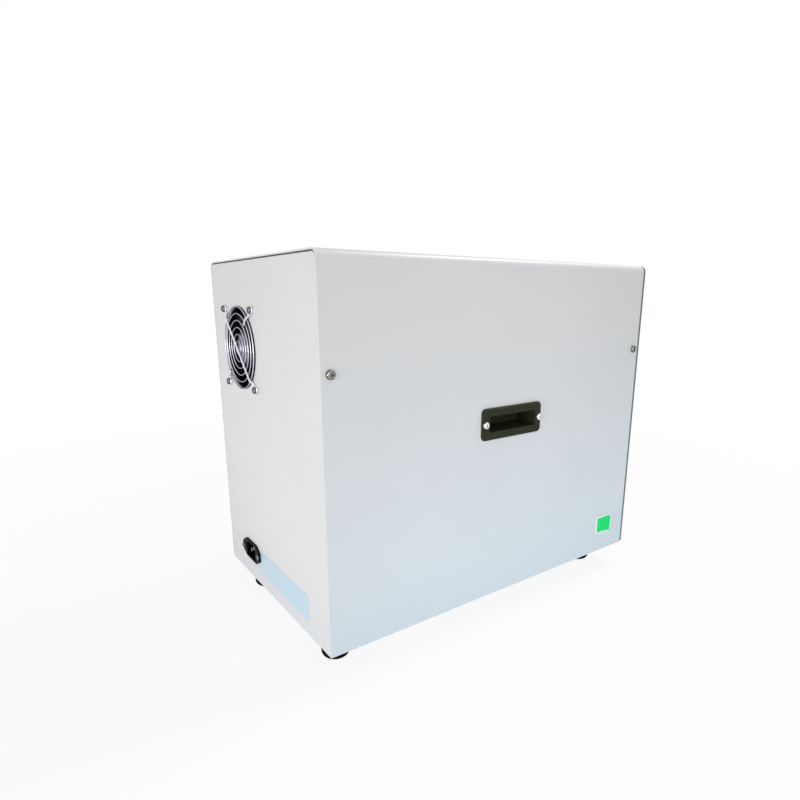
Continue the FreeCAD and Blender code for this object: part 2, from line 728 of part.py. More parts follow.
ROCKER_PIVOT_X = -HALF_W + ROCKER_PIVOT_IN


def switch_body():
    """Bezel outside the cover, and the case with its blades inside."""
    face = -HALF_W - SWITCH_BEZEL_T
    back = -HALF_W + SWITCH_BODY_DEPTH
    bezel = slab(
        "x", SWITCH_Y, SWITCH_Z, SWITCH_BEZEL_L, SWITCH_BEZEL_H, face, -HALF_W, SWITCH_BEZEL_ROUND
    )
    case = slab("x", SWITCH_Y, SWITCH_Z, SWITCH_BODY_L, SWITCH_BODY_H, -HALF_W, back)
    pieces = [bezel, case]
    blade_l, blade_t, blade_w = SWITCH_BLADE
    for y in (-SWITCH_BODY_L / 4, SWITCH_BODY_L / 4):
        for z in (-SWITCH_BODY_H / 4, SWITCH_BODY_H / 4):
            blade = slab("x", SWITCH_Y + y, SWITCH_Z + z, blade_t, blade_w, back, back + blade_l)
            pieces.append(blade)
    well_r = ROCKER_R + ROCKER_GAP
    well_h = ROCKER_H + 2 * ROCKER_GAP
    well_x = ROCKER_PIVOT_X + ROCKER_TAIL + 3 * ROCKER_GAP
    pin_h = ROCKER_H + 2 * (ROCKER_PIN_L + ROCKER_GAP)
    z0 = SWITCH_Z - pin_h / 2
    tools = [
        slab("x", SWITCH_Y, SWITCH_Z, 2 * well_r, well_h, face - SHEET, well_x),
        rod("z", ROCKER_PIVOT_X, SWITCH_Y, ROCKER_PIN_R + ROCKER_PIN_FIT, z0, z0 + pin_h),
    ]
    return cut(joined(pieces), tools)


def switch_rocker():
    """Dished rocker on two pins, tipped to its off side at rest."""
    crest = ROCKER_PIVOT_X - ROCKER_PIVOT_IN - ROCKER_RISE
    tail = ROCKER_PIVOT_X + ROCKER_TAIL
    z0, z1 = SWITCH_Z - ROCKER_H / 2, SWITCH_Z + ROCKER_H / 2
    profile = [
        (crest, SWITCH_Y - ROCKER_R, 0),
        (crest + ROCKER_DISH, SWITCH_Y, 0),
        (crest, SWITCH_Y + ROCKER_R, 0),
        (ROCKER_PIVOT_X, SWITCH_Y + ROCKER_R, 0),
        (tail, SWITCH_Y + ROCKER_TAIL / 2, 0),
        (tail, SWITCH_Y - ROCKER_TAIL / 2, 0),
        (ROCKER_PIVOT_X, SWITCH_Y - ROCKER_R, 0),
    ]
    swing = rod("z", ROCKER_PIVOT_X, SWITCH_Y, ROCKER_R, z0, z1)
    key = prism("z", profile, z0, z1).common(swing)
    pin = rod("z", ROCKER_PIVOT_X, SWITCH_Y, ROCKER_PIN_R, z0 - ROCKER_PIN_L, z1 + ROCKER_PIN_L)
    rocker = joined([key, pin])
    rocker.rotate(Vector(ROCKER_PIVOT_X, SWITCH_Y, 0), Vector(0, 0, 1), -ROCKER_TILT)
    return rocker


# Exhaust fan

FAN_REAR_Y = PANEL_INNER_Y
FAN_FRONT_Y = PANEL_INNER_Y - FAN_T
FAN_HUB_REAR_Y = FAN_REAR_Y - FAN_HUB_INSET
FAN_HUB_FRONT_Y = FAN_FRONT_Y + FAN_BASE_T + FAN_BASE_GAP


def fan_frame():
    """Square frame with two flanges, a round duct, a motor base and four struts."""
    flange = FAN_REAR_Y - FAN_FLANGE_T
    low = FAN_FRONT_Y + FAN_FLANGE_T
    half, flat = FAN_SIZE / 2, FAN_SIZE / 2 * math.tan(math.pi / 8)
    waist = [(-flat, -half), (flat, -half), (half, -flat), (half, flat)]
    waist += [(-u, -v) for u, v in waist]
    waist = [(FAN_X + u, FAN_Z + v, 0) for u, v in waist]
    pieces = [
        slab("y", FAN_X, FAN_Z, FAN_SIZE, FAN_SIZE, flange, FAN_REAR_Y, FAN_CORNER),
        slab("y", FAN_X, FAN_Z, FAN_SIZE, FAN_SIZE, FAN_FRONT_Y, low, FAN_CORNER),
        prism("y", waist, low, flange),
    ]
    tools = [rod("y", FAN_X, FAN_Z, FAN_BORE_R, FAN_FRONT_Y - SHEET, FAN_REAR_Y + SHEET)]
    for x, z in FAN_SCREW_AT:
        tools.append(rod("y", x, z, FAN_SCREW[2] + HOLE_FIT, FAN_FRONT_Y, FAN_REAR_Y))
    duct = cut(joined(pieces), tools)
    base_top = FAN_FRONT_Y + FAN_BASE_T
    spider = [rod("y", FAN_X, FAN_Z, FAN_HUB_R, FAN_FRONT_Y, base_top)]
    reach = 2 * FAN_BORE_R + FAN_FLANGE_T / 2
    for angle in (45, 135):
        strut = slab("y", FAN_X, FAN_Z, reach, FAN_STRUT_W, FAN_FRONT_Y, base_top)
        strut.rotate(Vector(FAN_X, 0, FAN_Z), Vector(0, 1, 0), angle)
        spider.append(strut)
    sleeve = rod("y", FAN_X, FAN_Z, FAN_SLEEVE_R, base_top, base_top + FAN_SLEEVE_L)
    bore = rod("y", FAN_X, FAN_Z, FAN_SHAFT_R + SHAFT_FIT, base_top, base_top + FAN_SLEEVE_L)
    return cut(joined([duct] + spider + [sleeve]), [bore])


def blade_section(radius, chord, pitch, mid_y):
    """Bent strip outline of one fan blade where it crosses a radius."""
    lean = math.radians(pitch)
    half = FAN_BLADE_T / 2
    end = chord / 2
    strip = [(-end, half), (0, half + FAN_CAMBER), (end, half)]
    strip += [(end, -half), (0, FAN_CAMBER - half), (-end, -half), (-end, half)]
    points = []
    for run, rise in strip:
        u = run * math.cos(lean) - rise * math.sin(lean)
        v = run * math.sin(lean) + rise * math.cos(lean)
        points.append(Vector(radius, mid_y + v, u))
    return Part.makePolygon(points)


def fan_rotor():
    """Cup hub with twisted blades, open at the motor side, on a steel shaft."""
    mid_y = (FAN_HUB_REAR_Y + FAN_HUB_FRONT_Y) / 2
    cup_top = FAN_HUB_REAR_Y - FAN_HUB_WALL
    hub = [
        (0, FAN_HUB_REAR_Y),
        (FAN_HUB_R - FAN_HUB_BEVEL, FAN_HUB_REAR_Y),
        (FAN_HUB_R, FAN_HUB_REAR_Y - FAN_HUB_BEVEL),
        (FAN_HUB_R, FAN_HUB_FRONT_Y),
        (FAN_HUB_R - FAN_HUB_WALL, FAN_HUB_FRONT_Y),
        (FAN_HUB_R - FAN_HUB_WALL, cup_top),
        (FAN_SHAFT_R, cup_top),
        (FAN_SHAFT_R, FAN_FRONT_Y + FAN_BASE_T + FAN_BASE_GAP / 2),
        (0, FAN_FRONT_Y + FAN_BASE_T + FAN_BASE_GAP / 2),
        (0, FAN_HUB_REAR_Y),
    ]
    pieces = [turned(path_edges(hub), Vector(0, 0, 0), Vector(0, 1, 0))]
    root = blade_section(FAN_HUB_R - FAN_HUB_WALL / 2, FAN_ROOT_CHORD, FAN_ROOT_PITCH, mid_y)
    tip_r = FAN_BORE_R - FAN_TIP_GAP
    tip_run = FAN_TIP_CHORD / 2 * math.cos(math.radians(FAN_TIP_PITCH)) + FAN_BLADE_T
    tip_flat = math.sqrt(tip_r ** 2 - tip_run ** 2)
    tip = blade_section(tip_flat, FAN_TIP_CHORD, FAN_TIP_PITCH, mid_y)
    blade = Part.makeLoft([root, tip], True, True)
    for i in range(FAN_BLADES):
        copy = blade.copy()
        copy.rotate(Vector(0, 0, 0), Vector(0, 1, 0), i * 360 / FAN_BLADES)
        pieces.append(copy)
    rotor = joined(pieces)
    rotor.translate(Vector(FAN_X, 0, FAN_Z))
    return rotor


def wire_ring(radius, mid_y, wire):
    """One ring of square wire about the fan axis."""
    inner, outer = radius - wire, radius + wire
    low, high = mid_y - wire, mid_y + wire
    return rod("y", 0, 0, outer, low, high).cut(rod("y", 0, 0, inner, low, high))


def guard_arm(angle, inner_r):
    """One wire from a ring out to a screw: across the rings, down a leg and round an eye."""
    wire = GUARD_WIRE_R
    seat_y = REAR_Y + wire
    knee = GUARD_LEG_R - GUARD_LIFT
    toe = GUARD_EYE_AT - GUARD_EYE_R
    profile = [
        (inner_r, GUARD_BAR_Y + wire, 0),
        (inner_r, GUARD_BAR_Y - wire, 0),
        (knee - wire, GUARD_BAR_Y - wire, 0),
        (GUARD_LEG_R - wire, REAR_Y, 0),
        (toe, REAR_Y, 0),
        (toe, seat_y + wire, 0),
        (GUARD_LEG_R, seat_y + wire, 0),
        (knee, GUARD_BAR_Y + wire, 0),
    ]
    leg = prism("z", profile, -wire, wire)
    eye = wire_ring(GUARD_EYE_R, seat_y, wire)
    eye.translate(Vector(GUARD_EYE_AT, 0, 0))
    arm = joined([leg, eye])
    arm.rotate(Vector(0, 0, 0), Vector(0, 1, 0), angle)
    return arm


def fan_guard():
    """Concentric wire rings under one full diagonal wire and two short arms."""
    step = (GUARD_LAST_R - GUARD_FIRST_R) / (GUARD_RINGS - 1)
    radii = [GUARD_FIRST_R + i * step for i in range(GUARD_RINGS)]
    rings = [wire_ring(r, GUARD_RING_Y, GUARD_RING_WIRE_R) for r in radii]
    arms = [guard_arm(-45, 0.0), guard_arm(135, 0.0)]
    arms += [guard_arm(angle, radii[-GUARD_ARM_RINGS]) for angle in (45, 225)]
    guard = joined(rings + arms)
    guard.translate(Vector(FAN_X, 0, FAN_Z))
    return guard


def fan_screws():
    """Four screws through the guard eyes, the panel and the fan frame."""
    seat_y = REAR_Y + 2 * GUARD_WIRE_R
    return [screw(FAN_SCREW, Vector(x, seat_y, z), Vector(0, 1, 0)) for x, z in FAN_SCREW_AT]


# Mains inlet


def inlet_outline():
    """Six sided flange outline, wide in the middle and narrow at the ears."""
    flat, ear = INLET_FLAT_L / 2, INLET_EAR_H / 2
    end, half = INLET_L / 2, INLET_H / 2
    points = [(-end, -ear), (-flat, -half), (flat, -half), (end, -ear)]
    points += [(end, ear), (flat, half), (-flat, half), (-end, ear)]
    return [(INLET_X + u, INLET_Z + v, INLET_ROUND) for u, v in points]


def inlet_body():
    """Moulded inlet with a keyed well open to the rear."""
    face = REAR_Y + INLET_T
    back = REAR_Y - INLET_DEPTH
    flange = prism("y", inlet_outline(), REAR_Y, face)
    shroud = slab("y", INLET_X, INLET_Z, INLET_SHROUD_L, INLET_SHROUD_H, back, REAR_Y)
    half_l, half_h = INLET_WELL_L / 2, INLET_WELL_H / 2
    well = [
        (INLET_X - half_l, INLET_Z - half_h, 0),
        (INLET_X + half_l, INLET_Z - half_h, 0),
        (INLET_X + half_l, INLET_Z + half_h - INLET_WELL_CUT, 0),
        (INLET_X + half_l - INLET_WELL_CUT, INLET_Z + half_h, 0),
        (INLET_X - half_l + INLET_WELL_CUT, INLET_Z + half_h, 0),
        (INLET_X - half_l, INLET_Z + half_h - INLET_WELL_CUT, 0),
    ]
    tools = [prism("y", well, face - INLET_WELL_DEPTH, face + SHEET)]
    for x in (-INLET_SCREW_PITCH / 2, INLET_SCREW_PITCH / 2):
        radius = INLET_SCREW[2] + HOLE_FIT
        tools.append(rod("y", INLET_X + x, INLET_Z, radius, REAR_Y - SHEET, face + SHEET))
    thick, wide, _ = INLET_PIN
    floor_y = face - INLET_WELL_DEPTH
    for x, z in inlet_pin_places():
        tools.append(slab("y", x, z, thick, wide, back - SHEET, floor_y + SHEET))
    return cut(joined([flange, shroud]), tools)


def inlet_pin_places():
    """Earth pin in the upper middle, line pins lower at each side."""
    places = [(INLET_X, INLET_Z + INLET_PIN_RISE)]
    for x in (-INLET_PIN_PITCH, INLET_PIN_PITCH):
        places.append((INLET_X + x, INLET_Z - INLET_PIN_RISE))
    return places


def inlet_pins():
    """Three flat pins whose tags come out behind."""
    thick, wide, length = INLET_PIN
    floor_y = REAR_Y + INLET_T - INLET_WELL_DEPTH
    tag = REAR_Y - INLET_DEPTH - INLET_TAG_L
    return [slab("y", x, z, thick, wide, tag, floor_y + length) for x, z in inlet_pin_places()]


def inlet_screws():
    """One screw through each ear of the inlet."""
    xs = (INLET_X - INLET_SCREW_PITCH / 2, INLET_X + INLET_SCREW_PITCH / 2)
    return [screw(INLET_SCREW, Vector(x, REAR_Y + INLET_T, INLET_Z), Vector(0, 1, 0)) for x in xs]


# Drawer


def shell_ring(u, v, width, height, thick, start, end, radius=0.0):
    """A rectangular ring about (u, v), seen along Y."""
    outer = slab("y", u, v, width, height, start, end, radius)
    inner = slab("y", u, v, width - 2 * thick, height - 2 * thick, start, end, max(radius - thick, 0))
    return outer.cut(inner)


DRAWER_W = OPENING_W + 2 * DRAWER_LAP
DRAWER_H = OPENING_H + 2 * DRAWER_LAP
PANE_W = WINDOW_W + 2 * WINDOW_LAP
PANE_H = WINDOW_H + 2 * WINDOW_LAP
PANE_FRONT_Y = DRAWER_FRONT_Y + DRAWER_SHEET
INNER_PANEL_Y = DRAWER_REAR_Y - SHEET


def drawer_front():
    """Folded front box, open at the rear, with a window."""
    box = slab("y", 0, DRAWER_Z, DRAWER_W, DRAWER_H, DRAWER_FRONT_Y, DRAWER_REAR_Y, DRAWER_EDGE_ROUND)
    rim = [edge for edge in box.Edges if edge.BoundBox.YMax < DRAWER_FRONT_Y + DRAWER_SHEET / 2]
    box = box.makeChamfer(DRAWER_BEVEL, rim)
    wall = 2 * DRAWER_SHEET
    hollow = slab("y", 0, DRAWER_Z, DRAWER_W - wall, DRAWER_H - wall, PANE_FRONT_Y, DRAWER_REAR_Y)
    window = slab("y", 0, WINDOW_Z, WINDOW_W, WINDOW_H, DRAWER_FRONT_Y, PANE_FRONT_Y, WINDOW_ROUND)
    tools = [hollow, window]
    for x in BAR_XS:
        tools.append(rod("y", x, BAR_Z, BAR_SCREW[2] + HOLE_FIT, DRAWER_FRONT_Y, PANE_FRONT_Y))
    return cut(box, tools)


def drawer_inner_panel():
    """Sheet that closes the back of the drawer front."""
    inset = 2 * (DRAWER_SHEET + PANEL_FIT)
    sheet = slab("y", 0, DRAWER_Z, DRAWER_W - inset, DRAWER_H - inset, INNER_PANEL_Y, DRAWER_REAR_Y)
    window = slab("y", 0, WINDOW_Z, WINDOW_W, WINDOW_H, INNER_PANEL_Y, DRAWER_REAR_Y, WINDOW_ROUND)
    return cut(sheet, [window])


def window_panes():
    """Outer pane, spacer and inner pane, stacked between the two sheets."""
    inner_y = INNER_PANEL_Y - GLASS_T
    outer = slab("y", 0, WINDOW_Z, PANE_W, PANE_H, PANE_FRONT_Y, PANE_FRONT_Y + GLASS_T)
    spacer = shell_ring(0, WINDOW_Z, PANE_W, PANE_H, WINDOW_LAP, PANE_FRONT_Y + GLASS_T, inner_y)
    inner = slab("y", 0, WINDOW_Z, PANE_W, PANE_H, inner_y, INNER_PANEL_Y)
    return outer, spacer, inner


def drawer_seal():
    """Heat proof cord seal that meets the chamber mouth."""
    width = CHAMBER_W + 2 * (LINER_SHEET + SEAL_W)
    height = CHAMBER_H + 2 * (LINER_SHEET + SEAL_W)
    return shell_ring(0, DRAWER_Z, width, height, SEAL_W, DRAWER_REAR_Y, FRAME_REAR_Y - SEAL_GAP)


def drawer_handle():
    """A flat bar bent to a bow, drilled for its screws."""
    x0, x1 = BAR_XS
    half = BAR_T / 2
    front_y = DRAWER_FRONT_Y - BAR_REACH
    profile = [
        (x0 - half, DRAWER_FRONT_Y, 0),
        (x0 - half, front_y, BAR_BEND),
        (x1 + half, front_y, BAR_BEND),
        (x1 + half, DRAWER_FRONT_Y, 0),
        (x1 - half, DRAWER_FRONT_Y, 0),
        (x1 - half, front_y + BAR_T, BAR_BEND - BAR_T),
        (x0 + half, front_y + BAR_T, BAR_BEND - BAR_T),
        (x0 + half, DRAWER_FRONT_Y, 0),
    ]
    bow = prism("z", profile, BAR_Z - BAR_H / 2, BAR_Z + BAR_H / 2)
    depth = BAR_SCREW[3] - DRAWER_SHEET + SHEET
    front = DRAWER_FRONT_Y - depth
    radius = BAR_SCREW[2] + HOLE_FIT
    return cut(bow, [rod("y", x, BAR_Z, radius, front, DRAWER_FRONT_Y) for x in BAR_XS])


def drawer_handle_screws():
    """Two screws into the bar from inside the drawer front."""
    return [screw(BAR_SCREW, Vector(x, PANE_FRONT_Y, BAR_Z), Vector(0, 1, 0)) for x in BAR_XS]


def drawer_side(side):
    """Side plate beside the chamber, with a front flange on the inner panel."""
    low, high = DRAWER_Z - SIDE_PLATE_H / 2, DRAWER_Z + SIDE_PLATE_H / 2
    outer = SIDE_PLATE_X + SHEET
    plate = block(SIDE_PLATE_X, outer, DRAWER_REAR_Y, SLIDE_REAR_Y, low, high)
    flange = block(
        SIDE_PLATE_X, SIDE_PLATE_X + SIDE_PLATE_FLANGE, DRAWER_REAR_Y, DRAWER_REAR_Y + SHEET, low, high
    )
    shape = joined([plate, flange])
    return shape if side > 0 else shape.mirror(Vector(0, 0, 0), Vector(1, 0, 0))


def board_tray():
    """Open grid that carries the boards, held by the inner panel."""
    half_w = CHAMBER_W / 2 - TRAY_SIDE_GAP
    low, high = TRAY_Z - TRAY_BAR / 2, TRAY_Z + TRAY_BAR / 2
    bars = [
        block(-half_w, half_w, TRAY_REAR_Y - TRAY_BAR, TRAY_REAR_Y, low, high),
        block(-half_w, half_w, DRAWER_REAR_Y, DRAWER_REAR_Y + TRAY_BAR, low, high),
    ]
    for side in (-1, 1):
        x0, x1 = sorted((side * half_w, side * (half_w - TRAY_BAR)))
        bars.append(block(x0, x1, DRAWER_REAR_Y, TRAY_REAR_Y, low, high))
    count = int((TRAY_REAR_Y - DRAWER_REAR_Y - 2 * TRAY_BAR) / TRAY_WIRE_PITCH)
    middle = (TRAY_REAR_Y + DRAWER_REAR_Y) / 2
    for y in grid(count, TRAY_WIRE_PITCH):
        y0 = middle + y - TRAY_WIRE / 2
        bars.append(block(-half_w, half_w, y0, y0 + TRAY_WIRE, high - TRAY_WIRE, high))
    return joined(bars)


# Telescopic slides


def channel(back_x, open_x, half_h, sheet):
    """A C section along Y: web at back_x, lips ending at open_x."""
    inner_x = back_x + sheet if open_x > back_x else back_x - sheet
    profile = [
        (back_x, DRAWER_Z - half_h, 0),
        (open_x, DRAWER_Z - half_h, 0),
        (open_x, DRAWER_Z - half_h + sheet, 0),
        (inner_x, DRAWER_Z - half_h + sheet, 0),
        (inner_x, DRAWER_Z + half_h - sheet, 0),
        (open_x, DRAWER_Z + half_h - sheet, 0),
        (open_x, DRAWER_Z + half_h, 0),
        (back_x, DRAWER_Z + half_h, 0),
    ]
    return prism("y", profile, SLIDE_FRONT_Y, SLIDE_REAR_Y)


def slide_members(side):
    """Outer, middle and inner members, one nested in the next."""
    step = SLIDE_SHEET + SLIDE_FIT
    half_h = SLIDE_H / 2
    outer = channel(BRACKET_X, SLIDE_X + step, half_h, SLIDE_SHEET)
    middle = channel(BRACKET_X - step, SLIDE_X + step, half_h - step, SLIDE_SHEET)
    inner = channel(SLIDE_X, BRACKET_X - 2 * step, half_h - 2 * step, SLIDE_SHEET)
    members = [outer, middle, inner]
    if side < 0:
        members = [m.mirror(Vector(0, 0, 0), Vector(1, 0, 0)) for m in members]
    return members


def slide_bracket(side):
    """Angle that carries the fixed slide member from the base pan."""
    high = DRAWER_Z + SLIDE_H / 2 + BRACKET_MARGIN
    pieces = [
        block(BRACKET_X, BRACKET_X + SHEET, BRACKET_FRONT_Y, SLIDE_REAR_Y, FLOOR_Z, high),
        block(BRACKET_X, BRACKET_X + BRACKET_FOOT, BRACKET_FRONT_Y, SLIDE_REAR_Y, FLOOR_Z, FLOOR_Z + SHEET),
    ]
    shape = joined(pieces)
    return shape if side > 0 else shape.mirror(Vector(0, 0, 0), Vector(1, 0, 0))


# Heating chamber


def chamber_box(half_w, half_h, front_y, rear_y):
    """A plain block of the chamber at some layer."""
    return slab("y", 0, DRAWER_Z, 2 * half_w, 2 * half_h, front_y, rear_y)


MOTOR_HOLE = MOTOR_SHAFT_R + MOTOR_SHAFT_GAP
CHAMBER_TOP_Z = DRAWER_Z + CHAMBER_H / 2


def chamber_holes():
    """Tools for the shaft hole at the back and the probe hole in the roof."""
    shaft = rod("y", 0, DRAWER_Z, MOTOR_HOLE, CHAMBER_REAR_Y - SHEET, JACKET_BACK_Y + SHEET)
    probe = rod("z", PROBE_X, PROBE_Y, PROBE_R + HOLE_FIT, CHAMBER_TOP_Z - SHEET, JACKET_TOP_Z + SHEET)
    return [shaft, probe]


LINER_FLANGE_Y = FRAME_REAR_Y + LINER_SHEET


def chamber_liner():
    """Thin heating box, open at the front, with a mouth flange over the insulation."""
    outer = chamber_box(LINER_HALF_W, LINER_HALF_H, FRAME_REAR_Y, LINER_BACK_Y)
    flange = chamber_box(JACKET_HALF_W, JACKET_HALF_H, FRAME_REAR_Y, LINER_FLANGE_Y)
    hollow = chamber_box(CHAMBER_W / 2, CHAMBER_H / 2, FRAME_REAR_Y, CHAMBER_REAR_Y)
    return cut(joined([outer, flange]), [hollow] + chamber_holes())


def chamber_insulation():
    """Wool layer between liner and jacket."""
    outer = chamber_box(JACKET_IN_W, JACKET_IN_H, LINER_FLANGE_Y, JACKET_IN_Y)
    inner = chamber_box(LINER_HALF_W, LINER_HALF_H, LINER_FLANGE_Y, LINER_BACK_Y)
    return cut(outer, [inner] + chamber_holes())


def chamber_jacket():
    """Outer sheet box that holds the insulation."""
    outer = chamber_box(JACKET_HALF_W, JACKET_HALF_H, LINER_FLANGE_Y, JACKET_BACK_Y)
    inner = chamber_box(JACKET_IN_W, JACKET_IN_H, LINER_FLANGE_Y, JACKET_IN_Y)
    return cut(outer, [inner] + chamber_holes())


def chamber_supports():
    """Two folded stools that lift the chamber off the base pan."""
    stools = []
    for y in SUPPORT_YS:
        y0, y1 = y - SUPPORT_L / 2, y + SUPPORT_L / 2
        stool = block(-SUPPORT_HALF_W, SUPPORT_HALF_W, y0, y1, FLOOR_Z, JACKET_FOOT_Z)
        inner_w = SUPPORT_HALF_W - SHEET
        under = block(-inner_w, inner_w, y0, y1, FLOOR_Z, JACKET_FOOT_Z - SHEET)
        stools.append(stool.cut(under))
    return stools


HEATER_FIRST_Y = FRAME_REAR_Y + HEATER_FRONT_INSET
HEATER_YS = [HEATER_FIRST_Y + i * HEATER_PITCH for i in range(HEATER_COUNT)]
HEATER_ZS = [DRAWER_Z + side * (CHAMBER_H / 2 - HEATER_WALL_GAP) for side in (-1, 1)]


def heater_tubes():
    """Quartz heaters across the chamber, above and below the tray."""
    half = CHAMBER_W / 2 - CAP_L + CAP_GRIP
    return [rod("x", y, z, HEATER_R, -half, half) for y in HEATER_YS for z in HEATER_ZS]


def heater_caps():
    """Ceramic cap at each end of each heater, seated on the liner walls."""
    caps = []
    wall = CHAMBER_W / 2
    for y in HEATER_YS:
        for z in HEATER_ZS:
            for side in (-1, 1):
                x0, x1 = sorted((side * wall, side * (wall - CAP_L)))
                well = sorted((side * (wall - CAP_L), side * (wall - CAP_L + CAP_GRIP)))
                cap = hexagon("x", y, z, CAP_R, x0, x1)
                caps.append(cap.cut(rod("x", y, z, HEATER_R + HEATER_FIT, *well)))
    return caps


def thermocouple():
    """Probe down into the chamber with a nut on the jacket."""
    low = CHAMBER_TOP_Z - PROBE_DEPTH
    stem = rod("z", PROBE_X, PROBE_Y, PROBE_R, low, JACKET_TOP_Z + PROBE_NUT_H)
    nut = hexagon("z", PROBE_X, PROBE_Y, PROBE_NUT_R, JACKET_TOP_Z, JACKET_TOP_Z + PROBE_NUT_H)
    return joined([stem, nut])


MOTOR_FRONT_Y = JACKET_BACK_Y
IMPELLER_REAR_Y = CHAMBER_REAR_Y - IMPELLER_WALL_GAP


def circulation_motor():
    """Round motor with a mounting flange on the back of the jacket."""
    flange_y = MOTOR_FRONT_Y + MOTOR_FLANGE_T
    body_y = flange_y + MOTOR_L
    pieces = [
        rod("y", 0, DRAWER_Z, MOTOR_FLANGE_R, MOTOR_FRONT_Y, flange_y),
        rod("y", 0, DRAWER_Z, MOTOR_R, flange_y, body_y),
    ]
    bore = rod("y", 0, DRAWER_Z, MOTOR_SHAFT_R + SHAFT_FIT, MOTOR_FRONT_Y, MOTOR_FRONT_Y + MOTOR_GRIP)
    return cut(joined(pieces), [bore])


def circulation_impeller():
    """Radial blade wheel in front of the chamber back, on the motor shaft."""
    front = IMPELLER_REAR_Y - IMPELLER_H
    disc_y = IMPELLER_REAR_Y - IMPELLER_DISC_T
    pieces = [
        rod("y", 0, DRAWER_Z, IMPELLER_R, disc_y, IMPELLER_REAR_Y),
        rod("y", 0, DRAWER_Z, IMPELLER_HUB_R, front, IMPELLER_REAR_Y),
        rod("y", 0, DRAWER_Z, MOTOR_SHAFT_R, front, MOTOR_FRONT_Y + MOTOR_GRIP - SHEET),
    ]
    blade_l = IMPELLER_R - IMPELLER_HUB_R / 2
    for i in range(IMPELLER_BLADES):
        blade = slab("y", IMPELLER_R - blade_l / 2, DRAWER_Z, blade_l, IMPELLER_DISC_T, front, disc_y)
        blade = blade.common(rod("y", 0, DRAWER_Z, IMPELLER_R, front, disc_y))
        blade.rotate(Vector(0, 0, DRAWER_Z), Vector(0, 1, 0), i * 360 / IMPELLER_BLADES)
        pieces.append(blade)
    return joined(pieces)


# Display, keys and control board


def display_window():
    """Clear pane set in the fascia, on the face of the frame."""
    return slab("y", 0, DISPLAY_Z, DISPLAY_W, DISPLAY_H, FRONT_Y + DISPLAY_RECESS, COVER_FRONT_Y)


def display_module():
    """Screen block through the frame, on its own carrier behind it."""
    lap = 2 * (DISPLAY_LAP + DISPLAY_FIT)
    screen = slab(
        "y", 0, DISPLAY_Z, DISPLAY_W - lap, DISPLAY_H - lap, COVER_FRONT_Y, FRAME_REAR_Y + SHEET
    )
    carrier = slab(
        "y", 0, DISPLAY_Z, DISPLAY_W, DISPLAY_H, FRAME_REAR_Y, FRAME_REAR_Y + DISPLAY_MODULE_T
    )
    return joined([screen, carrier])


def control_board():
    """Board behind the frame: standoffs, key switches and the display header."""
    pieces = [slab("y", 0, BOARD_Z, BOARD_W, BOARD_H, BOARD_Y, BOARD_Y + BOARD_T)]
    for u, v in corners_of(BOARD_W / 2 - STANDOFF_INSET, BOARD_H / 2 - STANDOFF_INSET):
        pieces.append(rod("y", u, BOARD_Z + v, STANDOFF_R, FRAME_REAR_Y, BOARD_Y))
    for x in KEY_XS:
        pieces.append(slab("y", x, KEY_Z, TACT_SIZE, TACT_SIZE, BOARD_Y - TACT_H, BOARD_Y))
    module_y = FRAME_REAR_Y + DISPLAY_MODULE_T
    pieces.append(slab("y", 0, DISPLAY_Z, DISPLAY_W / 2, TACT_SIZE, module_y, BOARD_Y))
    return joined(pieces)


def key(x):
    """Push key: bevelled cap, collar behind the fascia and stem to its switch."""
    top = FRONT_Y - KEY_RISE
    cap = slab("y", x, KEY_Z, KEY_W, KEY_H, top, COVER_FRONT_Y, KEY_CORNER)
    rim = [edge for edge in cap.Edges if edge.BoundBox.YMax < FRONT_Y - KEY_RISE / 2]
    cap = cap.makeChamfer(KEY_BEVEL, rim)
    wide, high = KEY_W + 2 * KEY_COLLAR, KEY_H + 2 * KEY_COLLAR
    collar = slab("y", x, KEY_Z, wide, high, COVER_FRONT_Y, COVER_FRONT_Y + KEY_COLLAR_T)
    stem_y = BOARD_Y - TACT_H - KEY_TRAVEL - KEY_SPARE
    stem = slab("y", x, KEY_Z, KEY_STEM, KEY_STEM, COVER_FRONT_Y, stem_y)
    return joined([cap, collar, stem])


# Electronics


def electronics_shelf():
    """Folded shelf on four legs over the chamber, with a lip at each end."""
    top = SHELF_Z + SHEET
    half = SHELF_HALF_W
    pieces = [block(-half, half, SHELF_FRONT_Y, SHELF_REAR_Y, SHELF_Z, top)]
    for y in (SHELF_FRONT_Y, SHELF_REAR_Y - SHEET):
        pieces.append(block(-half, half, y, y + SHEET, SHELF_Z, top + SHELF_LIP))
    for side in (-1, 1):
        x0, x1 = sorted((side * half, side * (half - SHEET)))
        for y in (SHELF_FRONT_Y, JACKET_BACK_Y - SHELF_LEG_W):
            pieces.append(block(x0, x1, y, y + SHELF_LEG_W, JACKET_TOP_Z, SHELF_Z))
    return joined(pieces)


def power_supply():
    """Sheet case with vent slots, standing on the shelf."""
    length, depth, height = SUPPLY_SIZE
    x, y = SUPPLY_X, SHELF_REAR_Y - SUPPLY_REAR_INSET
    foot = SHELF_Z + SHEET
    wall = 2 * SUPPLY_WALL
    top = foot + height
    middle = foot + height / 2
    near, far = y - depth / 2 - SHEET, y + depth / 2 + SHEET
    case = slab("z", x, y, length, depth, foot, top)
    tools = [slab("z", x, y, length - wall, depth - wall, foot + SUPPLY_WALL, top - SUPPLY_WALL)]
    for u in grid(SUPPLY_SLOTS, length / (SUPPLY_SLOTS + 1)):
        tools.append(slab("z", x + u, y, SUPPLY_SLOT_W, SUPPLY_TOP_SLOT, middle, top + SHEET))
        tools.append(slab("y", x + u, middle, SUPPLY_SLOT_W, SUPPLY_END_SLOT, near, far))
    return cut(case, tools)


